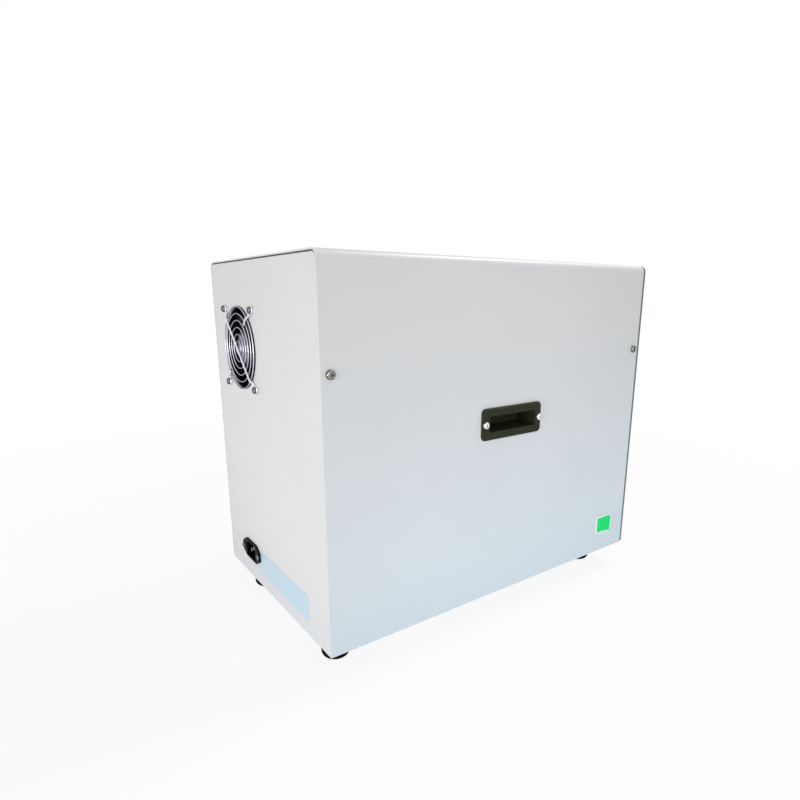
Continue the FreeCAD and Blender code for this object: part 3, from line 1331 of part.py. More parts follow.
def relay_module():
    """Solid state relay on a finned heat sink that stands on the shelf."""
    length, depth, plate = SINK_SIZE
    fin_t, fin_h = SINK_FIN
    x, y = RELAY_X, SHELF_FRONT_Y + RELAY_FRONT_INSET
    foot = SHELF_Z + SHEET
    seat = foot + fin_h + plate
    pieces = [slab("z", x, y, length, depth, foot + fin_h, seat)]
    for u in grid(SINK_FINS, (length - fin_t) / (SINK_FINS - 1)):
        pieces.append(slab("z", x + u, y, fin_t, depth, foot, foot + fin_h))
    block_l, block_d, block_h = RELAY_SIZE
    pieces.append(slab("z", x, y, block_l, block_d, seat, seat + block_h))
    return joined(pieces)


def terminal_block():
    """Screw terminals on the base pan beside the inlet."""
    length, depth, height = TERMINAL_SIZE
    x, y = TERMINAL_X, REAR_Y - TERMINAL_REAR_INSET
    top = FLOOR_Z + height
    body = slab("z", x, y, length, depth, FLOOR_Z, top)
    wells = []
    for u in grid(TERMINAL_WAYS, length / TERMINAL_WAYS):
        wells.append(rod("z", x + u, y, TERMINAL_WELL_R, top - TERMINAL_WELL_DEPTH, top + SHEET))
    return cut(body, wells)


def all_nodes():
    """Every piece of the oven by its name."""
    pane_outer, spacer, pane_inner = window_panes()
    nodes = {
        "outer_cover": outer_cover(),
        "rear_panel": rear_panel(),
        "base_pan": base_pan(),
        "front_frame": front_frame(),
        "front_fascia": front_fascia(),
        "cover_screws": cover_screws(),
        "rubber_feet": rubber_feet(),
        "foot_screws": foot_screws(),
        "handle_screws": handle_screws(),
        "fan_frame": fan_frame(),
        "fan_rotor": fan_rotor(),
        "fan_guard": fan_guard(),
        "fan_screws": fan_screws(),
        "inlet_body": inlet_body(),
        "inlet_pins": inlet_pins(),
        "inlet_screws": inlet_screws(),
        "switch_body": switch_body(),
        "switch_rocker": switch_rocker(),
        "display_window": display_window(),
        "display_module": display_module(),
        "control_board": control_board(),
        "drawer_front": drawer_front(),
        "drawer_inner_panel": drawer_inner_panel(),
        "window_glass_outer": pane_outer,
        "window_spacer": spacer,
        "window_glass_inner": pane_inner,
        "drawer_seal": drawer_seal(),
        "drawer_handle": drawer_handle(),
        "drawer_handle_screws": drawer_handle_screws(),
        "board_tray": board_tray(),
        "chamber_liner": chamber_liner(),
        "chamber_insulation": chamber_insulation(),
        "chamber_jacket": chamber_jacket(),
        "chamber_supports": chamber_supports(),
        "heater_tubes": heater_tubes(),
        "heater_caps": heater_caps(),
        "thermocouple": thermocouple(),
        "circulation_motor": circulation_motor(),
        "circulation_impeller": circulation_impeller(),
        "electronics_shelf": electronics_shelf(),
        "power_supply": power_supply(),
        "relay_module": relay_module(),
        "terminal_block": terminal_block(),
    }
    for name, side in (("left", -1), ("right", 1)):
        nodes["handle_" + name] = recessed_handle(side)
        nodes["drawer_side_" + name] = drawer_side(side)
        nodes["slide_bracket_" + name] = slide_bracket(side)
        for member, shape in zip(("outer", "middle", "inner"), slide_members(side)):
            nodes["slide_" + name + "_" + member] = shape
    for name, x in zip(KEY_NAMES, KEY_XS):
        nodes[name] = key(x)
    return nodes


def main():
    os.makedirs("parts", exist_ok=True)
    for name, shape in all_nodes().items():
        if isinstance(shape, list):
            shape = Part.makeCompound(shape)
        shape.translate(Vector(0, -ORIGIN_Y, 0))
        shape.exportStep("parts/" + name + ".step")


main()
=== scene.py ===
# %% [markdown]
# # A desktop drawer oven, dressed over its CAD frame
# The CAD frame brings every solid of the oven in its true place and size, and it stays
# as it is. This lesson gives each solid a finish and rebuilds the pieces that the eye
# goes to: sheet edges, fan and wire guard, side pulls, switch, inlet, screws and feet.

# %% Load the frame
import json
import math

import bmesh
import bpy
from mathutils import Matrix, Vector


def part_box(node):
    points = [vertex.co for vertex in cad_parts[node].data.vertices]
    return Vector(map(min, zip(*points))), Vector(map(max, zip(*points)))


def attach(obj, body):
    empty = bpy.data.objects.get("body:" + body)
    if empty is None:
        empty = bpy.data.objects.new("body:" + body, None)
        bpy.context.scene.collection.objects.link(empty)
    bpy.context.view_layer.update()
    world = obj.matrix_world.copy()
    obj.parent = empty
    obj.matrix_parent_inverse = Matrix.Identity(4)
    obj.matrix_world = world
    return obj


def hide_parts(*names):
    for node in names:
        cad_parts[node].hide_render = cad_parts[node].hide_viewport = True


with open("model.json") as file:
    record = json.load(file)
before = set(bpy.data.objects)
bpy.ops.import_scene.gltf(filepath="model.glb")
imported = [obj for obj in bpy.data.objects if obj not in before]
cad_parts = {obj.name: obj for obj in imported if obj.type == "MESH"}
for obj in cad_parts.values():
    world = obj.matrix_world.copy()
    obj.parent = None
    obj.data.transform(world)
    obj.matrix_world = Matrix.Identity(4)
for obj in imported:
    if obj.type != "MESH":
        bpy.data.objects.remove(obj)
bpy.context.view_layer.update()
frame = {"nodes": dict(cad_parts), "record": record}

MM = 0.001
nodes = frame["nodes"]
record = frame["record"]
body_of = {n: body for body, group in record["behaviour"]["bodies"].items() for n in group}
slot_of = {part["node"]: part["material_slot"] for part in record["subparts"]}
# The frame comes with plain colours, which the finishes below take the place of
for plain in list(bpy.data.materials):
    bpy.data.materials.remove(plain)

# %% [markdown]
# ## Small helpers for shader nodes
# Every finish below is a handful of shader nodes. Adding them one by one in the editor
# is fine for one material, but this oven has many, so small helpers do the repeating
# work: one adds a node with its settings and inputs, one joins two sockets, and two more
# build the Map Range and Mix nodes that nearly every finish needs.

# %% Node helpers
# A Mix node has sockets for every kind of data; these are the numbers of the colour ones
COLOUR_A, COLOUR_B, MIXED = 6, 7, 2


def srgb(red, green, blue):
    """A colour written as a screen shows it, 0 to 255, in the linear values that shaders use."""
    def linear(value):
        value = value / 255
        return value / 12.92 if value <= 0.04045 else ((value + 0.055) / 1.055) ** 2.4
    return (linear(red), linear(green), linear(blue), 1.0)


def add(tree, kind, inputs=None, **settings):
    """A new node of one kind, with its settings and unlinked inputs."""
    node = tree.nodes.new("ShaderNode" + kind)
    for name, value in settings.items():
        setattr(node, name, value)
    for name, value in (inputs or {}).items():
        node.inputs[name].default_value = value
    return node


def join(tree, source, output, target, socket):
    """A link from one node's output to another's input."""
    tree.links.new(source.outputs[output], target.inputs[socket])


def remap(tree, source, output, low, high, to_low=0.0, to_high=1.0):
    """A Map Range node on a value, clamped at both ends."""
    node = add(tree, "MapRange", {1: low, 2: high, 3: to_low, 4: to_high}, clamp=True)
    join(tree, source, output, node, "Value")
    return node


def blend_colours(tree, factor, output, first, second):
    """A Mix node between two plain colours or linked nodes, by a mask."""
    node = add(tree, "Mix", data_type="RGBA")
    join(tree, factor, output, node, 0)
    for socket, colour in ((COLOUR_A, first), (COLOUR_B, second)):
        if isinstance(colour, tuple):
            node.inputs[socket].default_value = colour
        else:
            join(tree, colour, MIXED, node, socket)
    return node


print("half grey on a screen is", round(srgb(128, 128, 128)[0], 3), "to a shader")

# %% [markdown]
# ## Shared surface effects
# Paint, plastic and bare metal all carry small faults: a pebbled skin, cloudy patches,
# brush lines, rubbed edges. Each fault is one node group that puts out masks and
# heights, so that every material can mix it in with its own strength. The patterns use
# Object coordinates, which are metres here, so a scale of 900 gives specks of about 1 mm.

# %% Start of a group
def new_group(name, inputs, outputs):
    """A shader node group with float inputs and outputs, and its two end nodes."""
    tree = bpy.data.node_groups.new(name, "ShaderNodeTree")
    plain_value = "NodeSocketFloat"
    for label, value in inputs.items():
        socket = tree.interface.new_socket(name=label, in_out="INPUT", socket_type=plain_value)
        socket.default_value = value
    for label in outputs:
        tree.interface.new_socket(name=label, in_out="OUTPUT", socket_type=plain_value)
    start = tree.nodes.new("NodeGroupInput")
    end = tree.nodes.new("NodeGroupOutput")
    return tree, start, end


print("node groups so far:", len(bpy.data.node_groups))

# %% [markdown]
# Powder coat flows out into an orange peel, and moulded plastic copies the etched skin of
# its mould. Real bumps of this size would need millions of faces. A noise with a finer
# cell pattern on top gives the same height to a Bump node, and its peaks give the specks.

# %% Pebbled skin, for powder coat and moulded plastic
def make_pebble_group():
    tree, start, end = new_group("pebbled_skin", {"Scale": 900.0}, ("Height", "Speck"))
    place = add(tree, "TexCoord")
    grain = add(tree, "TexNoise", {"Detail": 2.0, "Roughness": 0.55})
    fine = add(tree, "TexVoronoi", feature="SMOOTH_F1")
    double = add(tree, "Math", {1: 1.7}, operation="MULTIPLY")
    total = add(tree, "Math", operation="ADD")
    for texture in (grain, fine):
        join(tree, place, "Object", texture, "Vector")
    join(tree, start, "Scale", grain, "Scale")
    join(tree, start, "Scale", double, 0)
    join(tree, double, 0, fine, "Scale")
    join(tree, grain, "Fac", total, 0)
    join(tree, fine, "Distance", total, 1)
    join(tree, total, 0, end, "Height")
    speck = remap(tree, grain, "Fac", 0.42, 0.68)
    join(tree, speck, 0, end, "Speck")
    return tree


pebbled_skin = make_pebble_group()
print("group", pebbled_skin.name)

# %% [markdown]
# Paint lies thicker in some places than in others, and dust settles low on a case. A mask
# could be painted by hand, but then once for each piece. One slow noise serves all of them:
# as it is for the clouds, and faded out with height for the dust.

# %% Cloudy patches and settled dust
def make_cloud_group():
    inputs = {"Scale": 7.0, "Dust height": 0.09}
    tree, start, end = new_group("clouds_and_dust", inputs, ("Cloud", "Dust"))
    place = add(tree, "TexCoord")
    cloud = add(tree, "TexNoise", {"Detail": 4.0, "Roughness": 0.6})
    join(tree, place, "Object", cloud, "Vector")
    join(tree, start, "Scale", cloud, "Scale")
    soft = remap(tree, cloud, "Fac", 0.3, 0.7)
    join(tree, soft, 0, end, "Cloud")
    level = add(tree, "SeparateXYZ")
    join(tree, place, "Object", level, 0)
    fall = add(tree, "MapRange", {2: 0.0, 3: 0.0, 4: 1.0}, clamp=True)
    join(tree, level, "Z", fall, "Value")
    join(tree, start, "Dust height", fall, 1)
    patch = add(tree, "Math", operation="MULTIPLY")
    join(tree, fall, 0, patch, 0)
    join(tree, soft, 0, patch, 1)
    join(tree, patch, 0, end, "Dust")
    return tree


clouds_and_dust = make_cloud_group()
print("group", clouds_and_dust.name)

# %% [markdown]
# Rolled and brushed sheet carries fine lines in one direction. A picture of scratches would
# show its repeat on a large tray. Noise never repeats, and when the coordinates are
# multiplied by a large number across the lines and a small one along them, it draws out
# into streaks. The three inputs are those numbers.

# %% Brush lines on bare metal
ACROSS = ("Across X", "Across Y", "Across Z")


def make_brush_group():
    tree, start, end = new_group("brush_lines", dict.fromkeys(ACROSS, 60.0), ("Height", "Streak"))
    place = add(tree, "TexCoord")
    stretch = add(tree, "CombineXYZ")
    scaled = add(tree, "VectorMath", operation="MULTIPLY")
    lines = add(tree, "TexNoise", {"Scale": 12.0, "Detail": 3.0, "Roughness": 0.65})
    for label, axis in zip(ACROSS, "XYZ"):
        join(tree, start, label, stretch, axis)
    join(tree, place, "Object", scaled, 0)
    join(tree, stretch, 0, scaled, 1)
    join(tree, scaled, 0, lines, "Vector")
    join(tree, lines, "Fac", end, "Height")
    streak = remap(tree, lines, "Fac", 0.35, 0.65)
    join(tree, streak, 0, end, "Streak")
    return tree


brush_lines = make_brush_group()
print("group", brush_lines.name)

# %% [markdown]
# Rubbed edges need to know where the edges are. Curvature nodes guess that from the
# mesh, and guess badly on large flat sheets. The bevel step further down knows exactly
# which faces it made, so it writes a face attribute called rim, and the group below only
# breaks that band up with noise.

# %% Rubbed edges
def make_rim_group():
    tree, start, end = new_group("rubbed_rim", {"Scale": 260.0, "Amount": 0.5}, ("Wear",))
    place = add(tree, "TexCoord")
    rim = add(tree, "Attribute", attribute_name="rim")
    chips = add(tree, "TexNoise", {"Detail": 3.0, "Roughness": 0.7})
    join(tree, place, "Object", chips, "Vector")
    join(tree, start, "Scale", chips, "Scale")
    broken = remap(tree, chips, "Fac", 0.45, 0.62)
    band = add(tree, "Math", operation="MULTIPLY")
    join(tree, rim, "Fac", band, 0)
    join(tree, broken, 0, band, 1)
    wear = add(tree, "Math", operation="MULTIPLY")
    join(tree, band, 0, wear, 0)
    join(tree, start, "Amount", wear, 1)
    join(tree, wear, 0, end, "Wear")
    return tree


rubbed_rim = make_rim_group()
print("group", rubbed_rim.name)

# %% [markdown]
# ## Finishes
# A finish here is one function per way of making: powder coat, bare metal, plating,
# moulded plastic, glass, fibre. The same function makes several materials from other
# colours, as one paint shop makes several parts. What is the same all over a surface is
# set on the shader itself; only what changes over the surface comes through nodes.

# %% Start of a material
def new_material(name, constants):
    """A material with its Principled shader and the shader's plain inputs."""
    material = bpy.data.materials.new(name)
    material.use_nodes = True
    tree = material.node_tree
    shader = tree.nodes["Principled BSDF"]
    for label, value in constants.items():
        shader.inputs[label].default_value = value
    return material, tree, shader


def use(tree, group, inputs=None):
    """One of the shared effects, placed in a material with its own values."""
    node = tree.nodes.new("ShaderNodeGroup")
    node.node_tree = group
    for label, value in (inputs or {}).items():
        node.inputs[label].default_value = value
    return node


def raise_bump(tree, shader, source, output, strength, depth):
    """A Bump node from a height to the shader's normal, with its depth in metres."""
    bump = add(tree, "Bump", {"Strength": strength, "Distance": depth})
    join(tree, source, output, bump, "Height")
    join(tree, bump, "Normal", shader, "Normal")


def lay_on(tree, shader, colour, mask, output, gloss):
    """Link a mixed colour, and a roughness that a mask moves between two values."""
    join(tree, colour, MIXED, shader, "Base Color")
    join(tree, remap(tree, mask, output, 0.0, 1.0, *gloss), 0, shader, "Roughness")


def shade(colour, factor):
    """A colour made darker or lighter by a factor."""
    return tuple(min(1.0, channel * factor) for channel in colour[:3]) + (1.0,)


print("white a tenth darker:", shade((1.0, 1.0, 1.0, 1.0), 0.9))

# %% [markdown]
# Powder coat is dry paint melted onto the sheet. It has an orange peel skin, a soft
# gloss, slight clouds where the coat is thicker, and rubbed corners. A plain grey shader
# would look like plastic film, so the clouds, the dust near the floor and the rim are
# mixed in turn over the base colour.

# %% Powder coat
def powder_coat(name, colour, dust, gloss=(0.36, 0.48)):
    material, tree, shader = new_material(name, {"Specular IOR Level": 0.45})
    skin = use(tree, pebbled_skin, {"Scale": 650.0})
    patch = use(tree, clouds_and_dust, {"Scale": 5.0, "Dust height": 0.1})
    rim = use(tree, rubbed_rim, {"Scale": 180.0, "Amount": 0.4})
    clouded = blend_colours(tree, patch, "Cloud", shade(colour, 0.97), shade(colour, 1.02))
    dusty = blend_colours(tree, patch, "Dust", clouded, dust)
    worn = blend_colours(tree, rim, "Wear", dusty, shade(colour, 1.12))
    lay_on(tree, shader, worn, skin, "Speck", gloss)
    raise_bump(tree, shader, skin, "Height", 0.25, 0.00006)
    return material


PAINT_DUST = srgb(210, 217, 223)
powder_coat("cover_paint", srgb(224, 224, 225), PAINT_DUST)
powder_coat("drawer_paint", srgb(219, 220, 222), PAINT_DUST)
powder_coat("fascia_paint", srgb(88, 102, 106), srgb(108, 120, 124), (0.42, 0.55))
print(len(bpy.data.materials), "finishes so far")

# %% [markdown]
# Inside the oven most sheet is bare: a zinc plated pan, steel slides, a stainless liner.
# One function serves all of them. The brush lines change both colour and gloss, and slow
# clouds keep a large sheet from looking flat. The three numbers after the colour follow
# the way in which each piece was rolled or brushed.

# %% Bare and brushed metal
def bare_metal(name, colour, across, gloss=(0.24, 0.42), depth=0.00003):
    material, tree, shader = new_material(name, {"Metallic": 1.0})
    lines = use(tree, brush_lines, dict(zip(ACROSS, across)))
    patch = use(tree, clouds_and_dust, {"Scale": 14.0})
    streaked = blend_colours(tree, lines, "Streak", shade(colour, 0.86), shade(colour, 1.05))
    clouded = blend_colours(tree, patch, "Cloud", streaked, shade(colour, 0.94))
    lay_on(tree, shader, clouded, lines, "Streak", gloss)
    raise_bump(tree, shader, lines, "Height", 0.2, depth)
    return material


bare_metal("zinc_sheet", srgb(196, 199, 202), (9.0, 9.0, 9.0), (0.32, 0.5))
bare_metal("slide_steel", srgb(190, 192, 194), (70.0, 2.0, 70.0))
bare_metal("stainless", srgb(200, 198, 194), (4.0, 60.0, 60.0))
bare_metal("impeller_alloy", srgb(204, 204, 204), (40.0, 40.0, 40.0))
bare_metal("sink_alloy", srgb(176, 178, 180), (60.0, 3.0, 60.0))
bare_metal("bar_handle", srgb(70, 70, 74), (3.0, 70.0, 70.0), (0.3, 0.45))
bare_metal("contact_metal", srgb(214, 208, 194), (60.0, 3.0, 60.0))
print(len(bpy.data.materials), "finishes so far")

# %% [markdown]
# Plated wire and screw heads are almost mirrors. What tells them from a perfect mirror
# is a patchy film of grease, so only the roughness and a little of the colour change. In
# a white studio a mirror is white all over, and a real one still shows the dark room at
# its edges. A Layer Weight node paints that dark reflection in, turning the colour darker
# where the surface faces away, and the second colour of each finish says how dark.

# %% Plating
def plating(name, colour, edge, gloss, turn=0.4):
    material, tree, shader = new_material(name, {"Metallic": 1.0})
    film = use(tree, clouds_and_dust, {"Scale": 160.0})
    rim = use(tree, rubbed_rim, {"Scale": 900.0, "Amount": 0.3})
    filmed = blend_colours(tree, film, "Cloud", colour, shade(colour, 0.9))
    worn = blend_colours(tree, rim, "Wear", filmed, shade(colour, 0.75))
    # Painted reflection: the faces that turn away get the second, darker colour, for the dark room
    facing = add(tree, "LayerWeight", {"Blend": turn})
    turned = blend_colours(tree, facing, "Facing", worn, edge)
    lay_on(tree, shader, turned, film, "Cloud", gloss)
    return material


# The second colour of each plating is a painted reflection; the dark blue one on the rings paints
# the dark fan
plating("guard_wire", srgb(250, 251, 253), srgb(176, 182, 196), (0.22, 0.32))
ring_wire = plating("ring_wire", srgb(236, 240, 248), srgb(34, 46, 78), (0.26, 0.36), 0.5)
screw_steel = plating("screw_steel", srgb(244, 244, 240), srgb(168, 168, 160), (0.16, 0.3))
# On the cover screws, this plating's low base colour and near-black second colour are a painted
# reflection of a dark room
zinc_dark_reflection = plating("zinc_dark_reflection", srgb(158, 160, 154), srgb(4, 6, 4), (0.08, 0.16), 0.66)
grey_zinc = plating("grey_zinc", srgb(118, 130, 136), srgb(22, 28, 34), (0.14, 0.26))
print(len(bpy.data.materials), "finishes so far")

# %% [markdown]
# Moulded plastic and rubber copy the spark eroded skin of the mould. The pebble group
# gives that grain, and touched edges are lighter. Black pieces in a white studio turn grey
# by their reflections alone, so the darkest ones get a lower specular level.

# %% Moulded plastic and rubber
def moulded(name, colour, gloss, grain=1100.0, depth=0.00005, constants=None):
    material, tree, shader = new_material(name, constants or {})
    skin = use(tree, pebbled_skin, {"Scale": grain})
    patch = use(tree, clouds_and_dust, {"Scale": 40.0})
    rim = use(tree, rubbed_rim, {"Scale": 500.0, "Amount": 0.5})
    specked = blend_colours(tree, skin, "Speck", shade(colour, 0.9), shade(colour, 1.08))
    clouded = blend_colours(tree, patch, "Cloud", specked, shade(colour, 0.95))
    worn = blend_colours(tree, rim, "Wear", clouded, shade(colour, 1.5))
    lay_on(tree, shader, worn, patch, "Cloud", gloss)
    raise_bump(tree, shader, skin, "Height", 0.3, depth)
    return material


LOW_SHINE = {"Specular IOR Level": 0.2}
FAINT_SHINE = {"Specular IOR Level": 0.06}
NO_SHINE = {"Specular IOR Level": 0.02}
# A faint green emission paints a glow into the rocker, though the rocker is tipped to off
PAINTED_GREEN_GLOW = {"Emission Color": srgb(0, 228, 112), "Emission Strength": 0.2}
moulded("handle_plastic", srgb(50, 54, 37), (0.36, 0.5), constants=FAINT_SHINE)
moulded("fan_plastic", srgb(16, 16, 26), (0.3, 0.42), constants=LOW_SHINE)
moulded("inlet_plastic", srgb(12, 12, 16), (0.3, 0.4), constants=NO_SHINE)
moulded("switch_case", srgb(236, 240, 238), (0.3, 0.42))
moulded("key_plastic", srgb(196, 200, 204), (0.4, 0.55))
moulded("terminal_plastic", srgb(226, 222, 206), (0.4, 0.55))
moulded("foot_rubber", srgb(11, 12, 17), (0.6, 0.8), 800.0, 0.0001, NO_SHINE)
moulded("window_rubber", srgb(44, 44, 44), (0.6, 0.8), 900.0, 0.0001)
moulded("motor_paint", srgb(52, 52, 56), (0.4, 0.55))
moulded("rocker_green", srgb(0, 206, 100), (0.3, 0.4), 1400.0, 0.00002, LOW_SHINE | PAINTED_GREEN_GLOW)
print(len(bpy.data.materials), "finishes so far")

# %% [markdown]
# The oven has two glass panes in its drawer, one over the display, and quartz tubes round
# its heaters. Clean glass is hard to see in a render. Smudges in the roughness show where
# the surface is, while the transmission stays plain, and quartz is only half clear.

# %% Glass
def glass(name, colour, gloss, transmission=1.0):
    constants = {"Transmission Weight": transmission, "IOR": 1.5}
    material, tree, shader = new_material(name, constants)
    smudge = use(tree, clouds_and_dust, {"Scale": 25.0})
    tint = blend_colours(tree, smudge, "Cloud", colour, shade(colour, 0.96))
    lay_on(tree, shader, tint, smudge, "Cloud", gloss)
    return material


glass("window_glass", srgb(190, 194, 194), (0.02, 0.08))
glass("display_glass", srgb(120, 126, 130), (0.03, 0.08))
glass("quartz", srgb(244, 240, 232), (0.3, 0.45), 0.5)
print(len(bpy.data.materials), "finishes so far")

# %% [markdown]
# The seal of the drawer is a woven rope and the chamber is packed in wool. Single threads
# are too fine to model here. Streaks that run in several directions, a deep bump and a
# little sheen are enough for a soft, dull surface.

# %% Fibre
def fibre(name, colour, across):
    material, tree, shader = new_material(name, {"Sheen Weight": 0.3})
    strands = use(tree, brush_lines, dict(zip(ACROSS, across)))
    toned = blend_colours(tree, strands, "Streak", shade(colour, 0.78), colour)
    lay_on(tree, shader, toned, strands, "Streak", (0.8, 0.95))
    raise_bump(tree, shader, strands, "Height", 0.8, 0.0005)
    return material


fibre("fibre_seal", srgb(216, 210, 198), (50.0, 50.0, 50.0))
fibre("fibre_wool", srgb(232, 226, 212), (12.0, 30.0, 12.0))
print(len(bpy.data.materials), "finishes so far")

# %% [markdown]
# A circuit board is green lacquer over copper tracks. The tracks could be drawn one by
# one, but the board sits behind the fascia. A brick pattern, whose mortar takes the colour
# of lacquered copper, gives the right grid of thin lines.

# %% Circuit board
def circuit(name, colour, copper):
    material, tree, shader = new_material(name, {"Coat Weight": 0.3, "Coat Roughness": 0.2})
    grid = {"Scale": 90.0, "Mortar Size": 0.06}
    tints = {"Color1": colour, "Color2": shade(colour, 0.8), "Mortar": copper}
    place = add(tree, "TexCoord")
    tracks = add(tree, "TexBrick", grid | tints)
    join(tree, place, "Object", tracks, "Vector")
    join(tree, tracks, "Color", shader, "Base Color")
    rough = remap(tree, tracks, "Fac", 0.0, 1.0, 0.45, 0.3)
    join(tree, rough, 0, shader, "Roughness")
    raise_bump(tree, shader, tracks, "Fac", 0.3, 0.0001)
    return material


circuit("circuit_board", srgb(28, 112, 62), srgb(120, 150, 70))
print(len(bpy.data.materials), "finishes so far")

# %% [markdown]
# The film on the fan's hub shines violet, blue and rose, as a thin layer on a bright
# backing does. Real film colours are reflections that change with every view and are hard
# to steer, so clouds of two sizes paint the three colours in as a fixed sheen. The pale
# plate on the panel, the ink on the keys, the screen and the chalky ceramic are moulded
# finishes with other values.

# %% Films, ceramic, screen and ink
def painted_sheen_film(name, colour, cool, warm):
    material, tree, shader = new_material(name, {"Coat Weight": 0.4, "Coat Roughness": 0.1})
    broad = use(tree, clouds_and_dust, {"Scale": 55.0})
    narrow = use(tree, clouds_and_dust, {"Scale": 130.0})
    cooled = blend_colours(tree, broad, "Cloud", colour, cool)
    warmed = blend_colours(tree, narrow, "Cloud", cooled, warm)
    lay_on(tree, shader, warmed, broad, "Cloud", (0.15, 0.3))
    return material


# Grain and depth of the smoothest skin
FILM_SKIN = (1500.0, 0.00001)
# The violet, blue and rose clouds of the hub film are a painted sheen
hub_film = painted_sheen_film("hub_film", srgb(86, 58, 146), srgb(26, 74, 104), srgb(158, 118, 150))
label_film = moulded("label_film", srgb(198, 222, 239), (0.3, 0.4), *FILM_SKIN)
sign_ink = moulded("sign_ink", srgb(48, 58, 64), (0.4, 0.5), *FILM_SKIN)
moulded("screen", srgb(26, 30, 34), (0.12, 0.2), *FILM_SKIN, {"Coat Weight": 0.8})
moulded("heater_ceramic", srgb(234, 230, 218), (0.7, 0.85), 700.0, 0.0001)
print(len(bpy.data.materials), "finishes so far")

# %% [markdown]
# ## A finish for every solid
# The record that came with the frame names a slot for each node, such as cover_paint. The
# materials above have the same names, so a name is enough to find them. Choosing them by
# hand in the editor would work as well, but with sixty nodes one is soon forgotten.

# %% Put a finish on every CAD node
for name, node in nodes.items():
    node.data.materials.clear()
    node.data.materials.append(bpy.data.materials[slot_of[name]])
print(len(nodes), "nodes carry", len(set(slot_of.values())), "finishes")

# %% [markdown]
# ## From CAD solids to softened pieces
# A CAD solid has edges of no width, and they never catch the light. One helper copies a
# node's mesh, welds its loose triangles, dissolves the flat ones into large faces and
# bevels the sharp edges. It is quicker and truer than modelling every sheet again, since
# holes and folds stay exactly where the CAD has them.

# %% Copy and bevel
WELD = 0.001 * MM
FLAT_ANGLE, SHARP_EDGE = math.radians(0.5), math.radians(32)


def welded_copy(node):
    """A bmesh of a CAD node with its doubles merged and its flat triangles dissolved."""
    bm = bmesh.new()
    bm.from_mesh(nodes[node].data)
    bmesh.ops.remove_doubles(bm, verts=bm.verts, dist=WELD)
    bmesh.ops.dissolve_limit(bm, angle_limit=FLAT_ANGLE, verts=bm.verts, edges=bm.edges)
    bmesh.ops.recalc_face_normals(bm, faces=bm.faces)
    return bm


def round_edges(bm, edges, width, segments):
    """Bevel some edges to a round, and give the new faces."""
    made = bmesh.ops.bevel(
        bm, geom=edges, offset=width, offset_type="OFFSET", affect="EDGES", segments=segments,
        profile=0.5, material=-1, clamp_overlap=True,
    )
    return made["faces"]


def ease_edges(bm, width, segments=2):
    """Bevel every sharp edge and mark the new faces as rim."""
    rim = bm.faces.layers.float.new("rim")
    sharp = [e for e in bm.edges if e.is_manifold and e.calc_face_angle() > SHARP_EDGE]
    for face in round_edges(bm, sharp, width, segments):
        face[rim] = 1.0


print("edges that turn more than", round(math.degrees(SHARP_EDGE)), "degrees get a bevel")

# %% [markdown]
# A bmesh is only data until it becomes an object. The same steps end every piece: smooth
# shading with sharp edges kept, a material, and a Weighted Normal modifier that keeps large
# faces flat beside their bevels. Then the piece is parented to the moving body it rides on,
# and the CAD node that it takes the place of, if any, is hidden.

# %% Finish a piece
def finish_piece(name, bm, node, material=None, in_place_of_node=True):
    """Make an object of a bmesh, shade it, and let it ride with a CAD node and stand for it."""
    bmesh.ops.recalc_face_normals(bm, faces=bm.faces)
    for face in bm.faces:
        face.smooth = True
    for edge in bm.edges:
        edge.smooth = edge.is_manifold and edge.calc_face_angle() < SHARP_EDGE
    mesh = bpy.data.meshes.new(name)
    bm.to_mesh(mesh)
    bm.free()
    mesh.materials.append(material or bpy.data.materials[slot_of[node]])
    piece = bpy.data.objects.new(name, mesh)
    bpy.context.scene.collection.objects.link(piece)
    even = piece.modifiers.new("large_faces_stay_flat", "WEIGHTED_NORMAL")
    even.keep_sharp = True
    even.weight = 100
    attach(piece, body_of[node])
    if in_place_of_node:
        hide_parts(node)
    return piece


# %% [markdown]
# Sheet is deburred after cutting and a moulding leaves its mould with small radii, so
# neither has a knife edge. A Bevel modifier would round them as well, but it writes no
# attribute for the rubbed rim. The widths follow the way of making: about a third of a
# millimetre on thin sheet, half on mouldings, more on the bar that a hand pulls.

# %% Softened sheets and mouldings
# Bevel of each piece in millimetres
EASED = {
    "outer_cover": 0.35,
    "rear_panel": 0.35,
    "front_fascia": 0.5,
    "drawer_front": 0.4,
    "drawer_inner_panel": 0.3,
    "drawer_handle": 0.8,
    "handle_left": 0.5,
    "handle_right": 0.5,
    "inlet_body": 0.5,
    "inlet_pins": 0.4,
    "switch_body": 0.4,
    "fan_frame": 0.4,
    "board_tray": 0.4,
}
KEYS = ("key_menu", "key_down", "key_up", "key_start", "key_stop")
EASED |= dict.fromkeys(KEYS, 0.3)
for node, width in EASED.items():
    bm = welded_copy(node)
    ease_edges(bm, width * MM)
    piece = finish_piece(node + "_eased", bm, node)
    print(piece.name, len(piece.data.polygons), "faces")

# %% [markdown]
# ## The rocker
# The rocker is a short dished lever in clear green plastic. Its solid is already tipped
# to the off side. It could be modelled again, but its form is right and only its edges
# look cut. A wider bevel with more steps rounds them as a mould does.

# %% Rocker
ROCKER_EDGE, ROCKER_STEPS = 0.9 * MM, 4
bm = welded_copy("switch_rocker")
ease_edges(bm, ROCKER_EDGE, ROCKER_STEPS)
rocker = finish_piece("green_rocker", bm, "switch_rocker")
print(rocker.name, len(rocker.data.polygons), "faces")

# %% [markdown]
# ## Screws
# Equal screws are one CAD node with several separate solids. Their places could be typed
# in from the drawing, but then a change in the CAD would leave the new heads behind. The
# helper below walks from vertex to vertex to find each solid, so they stand where it does.

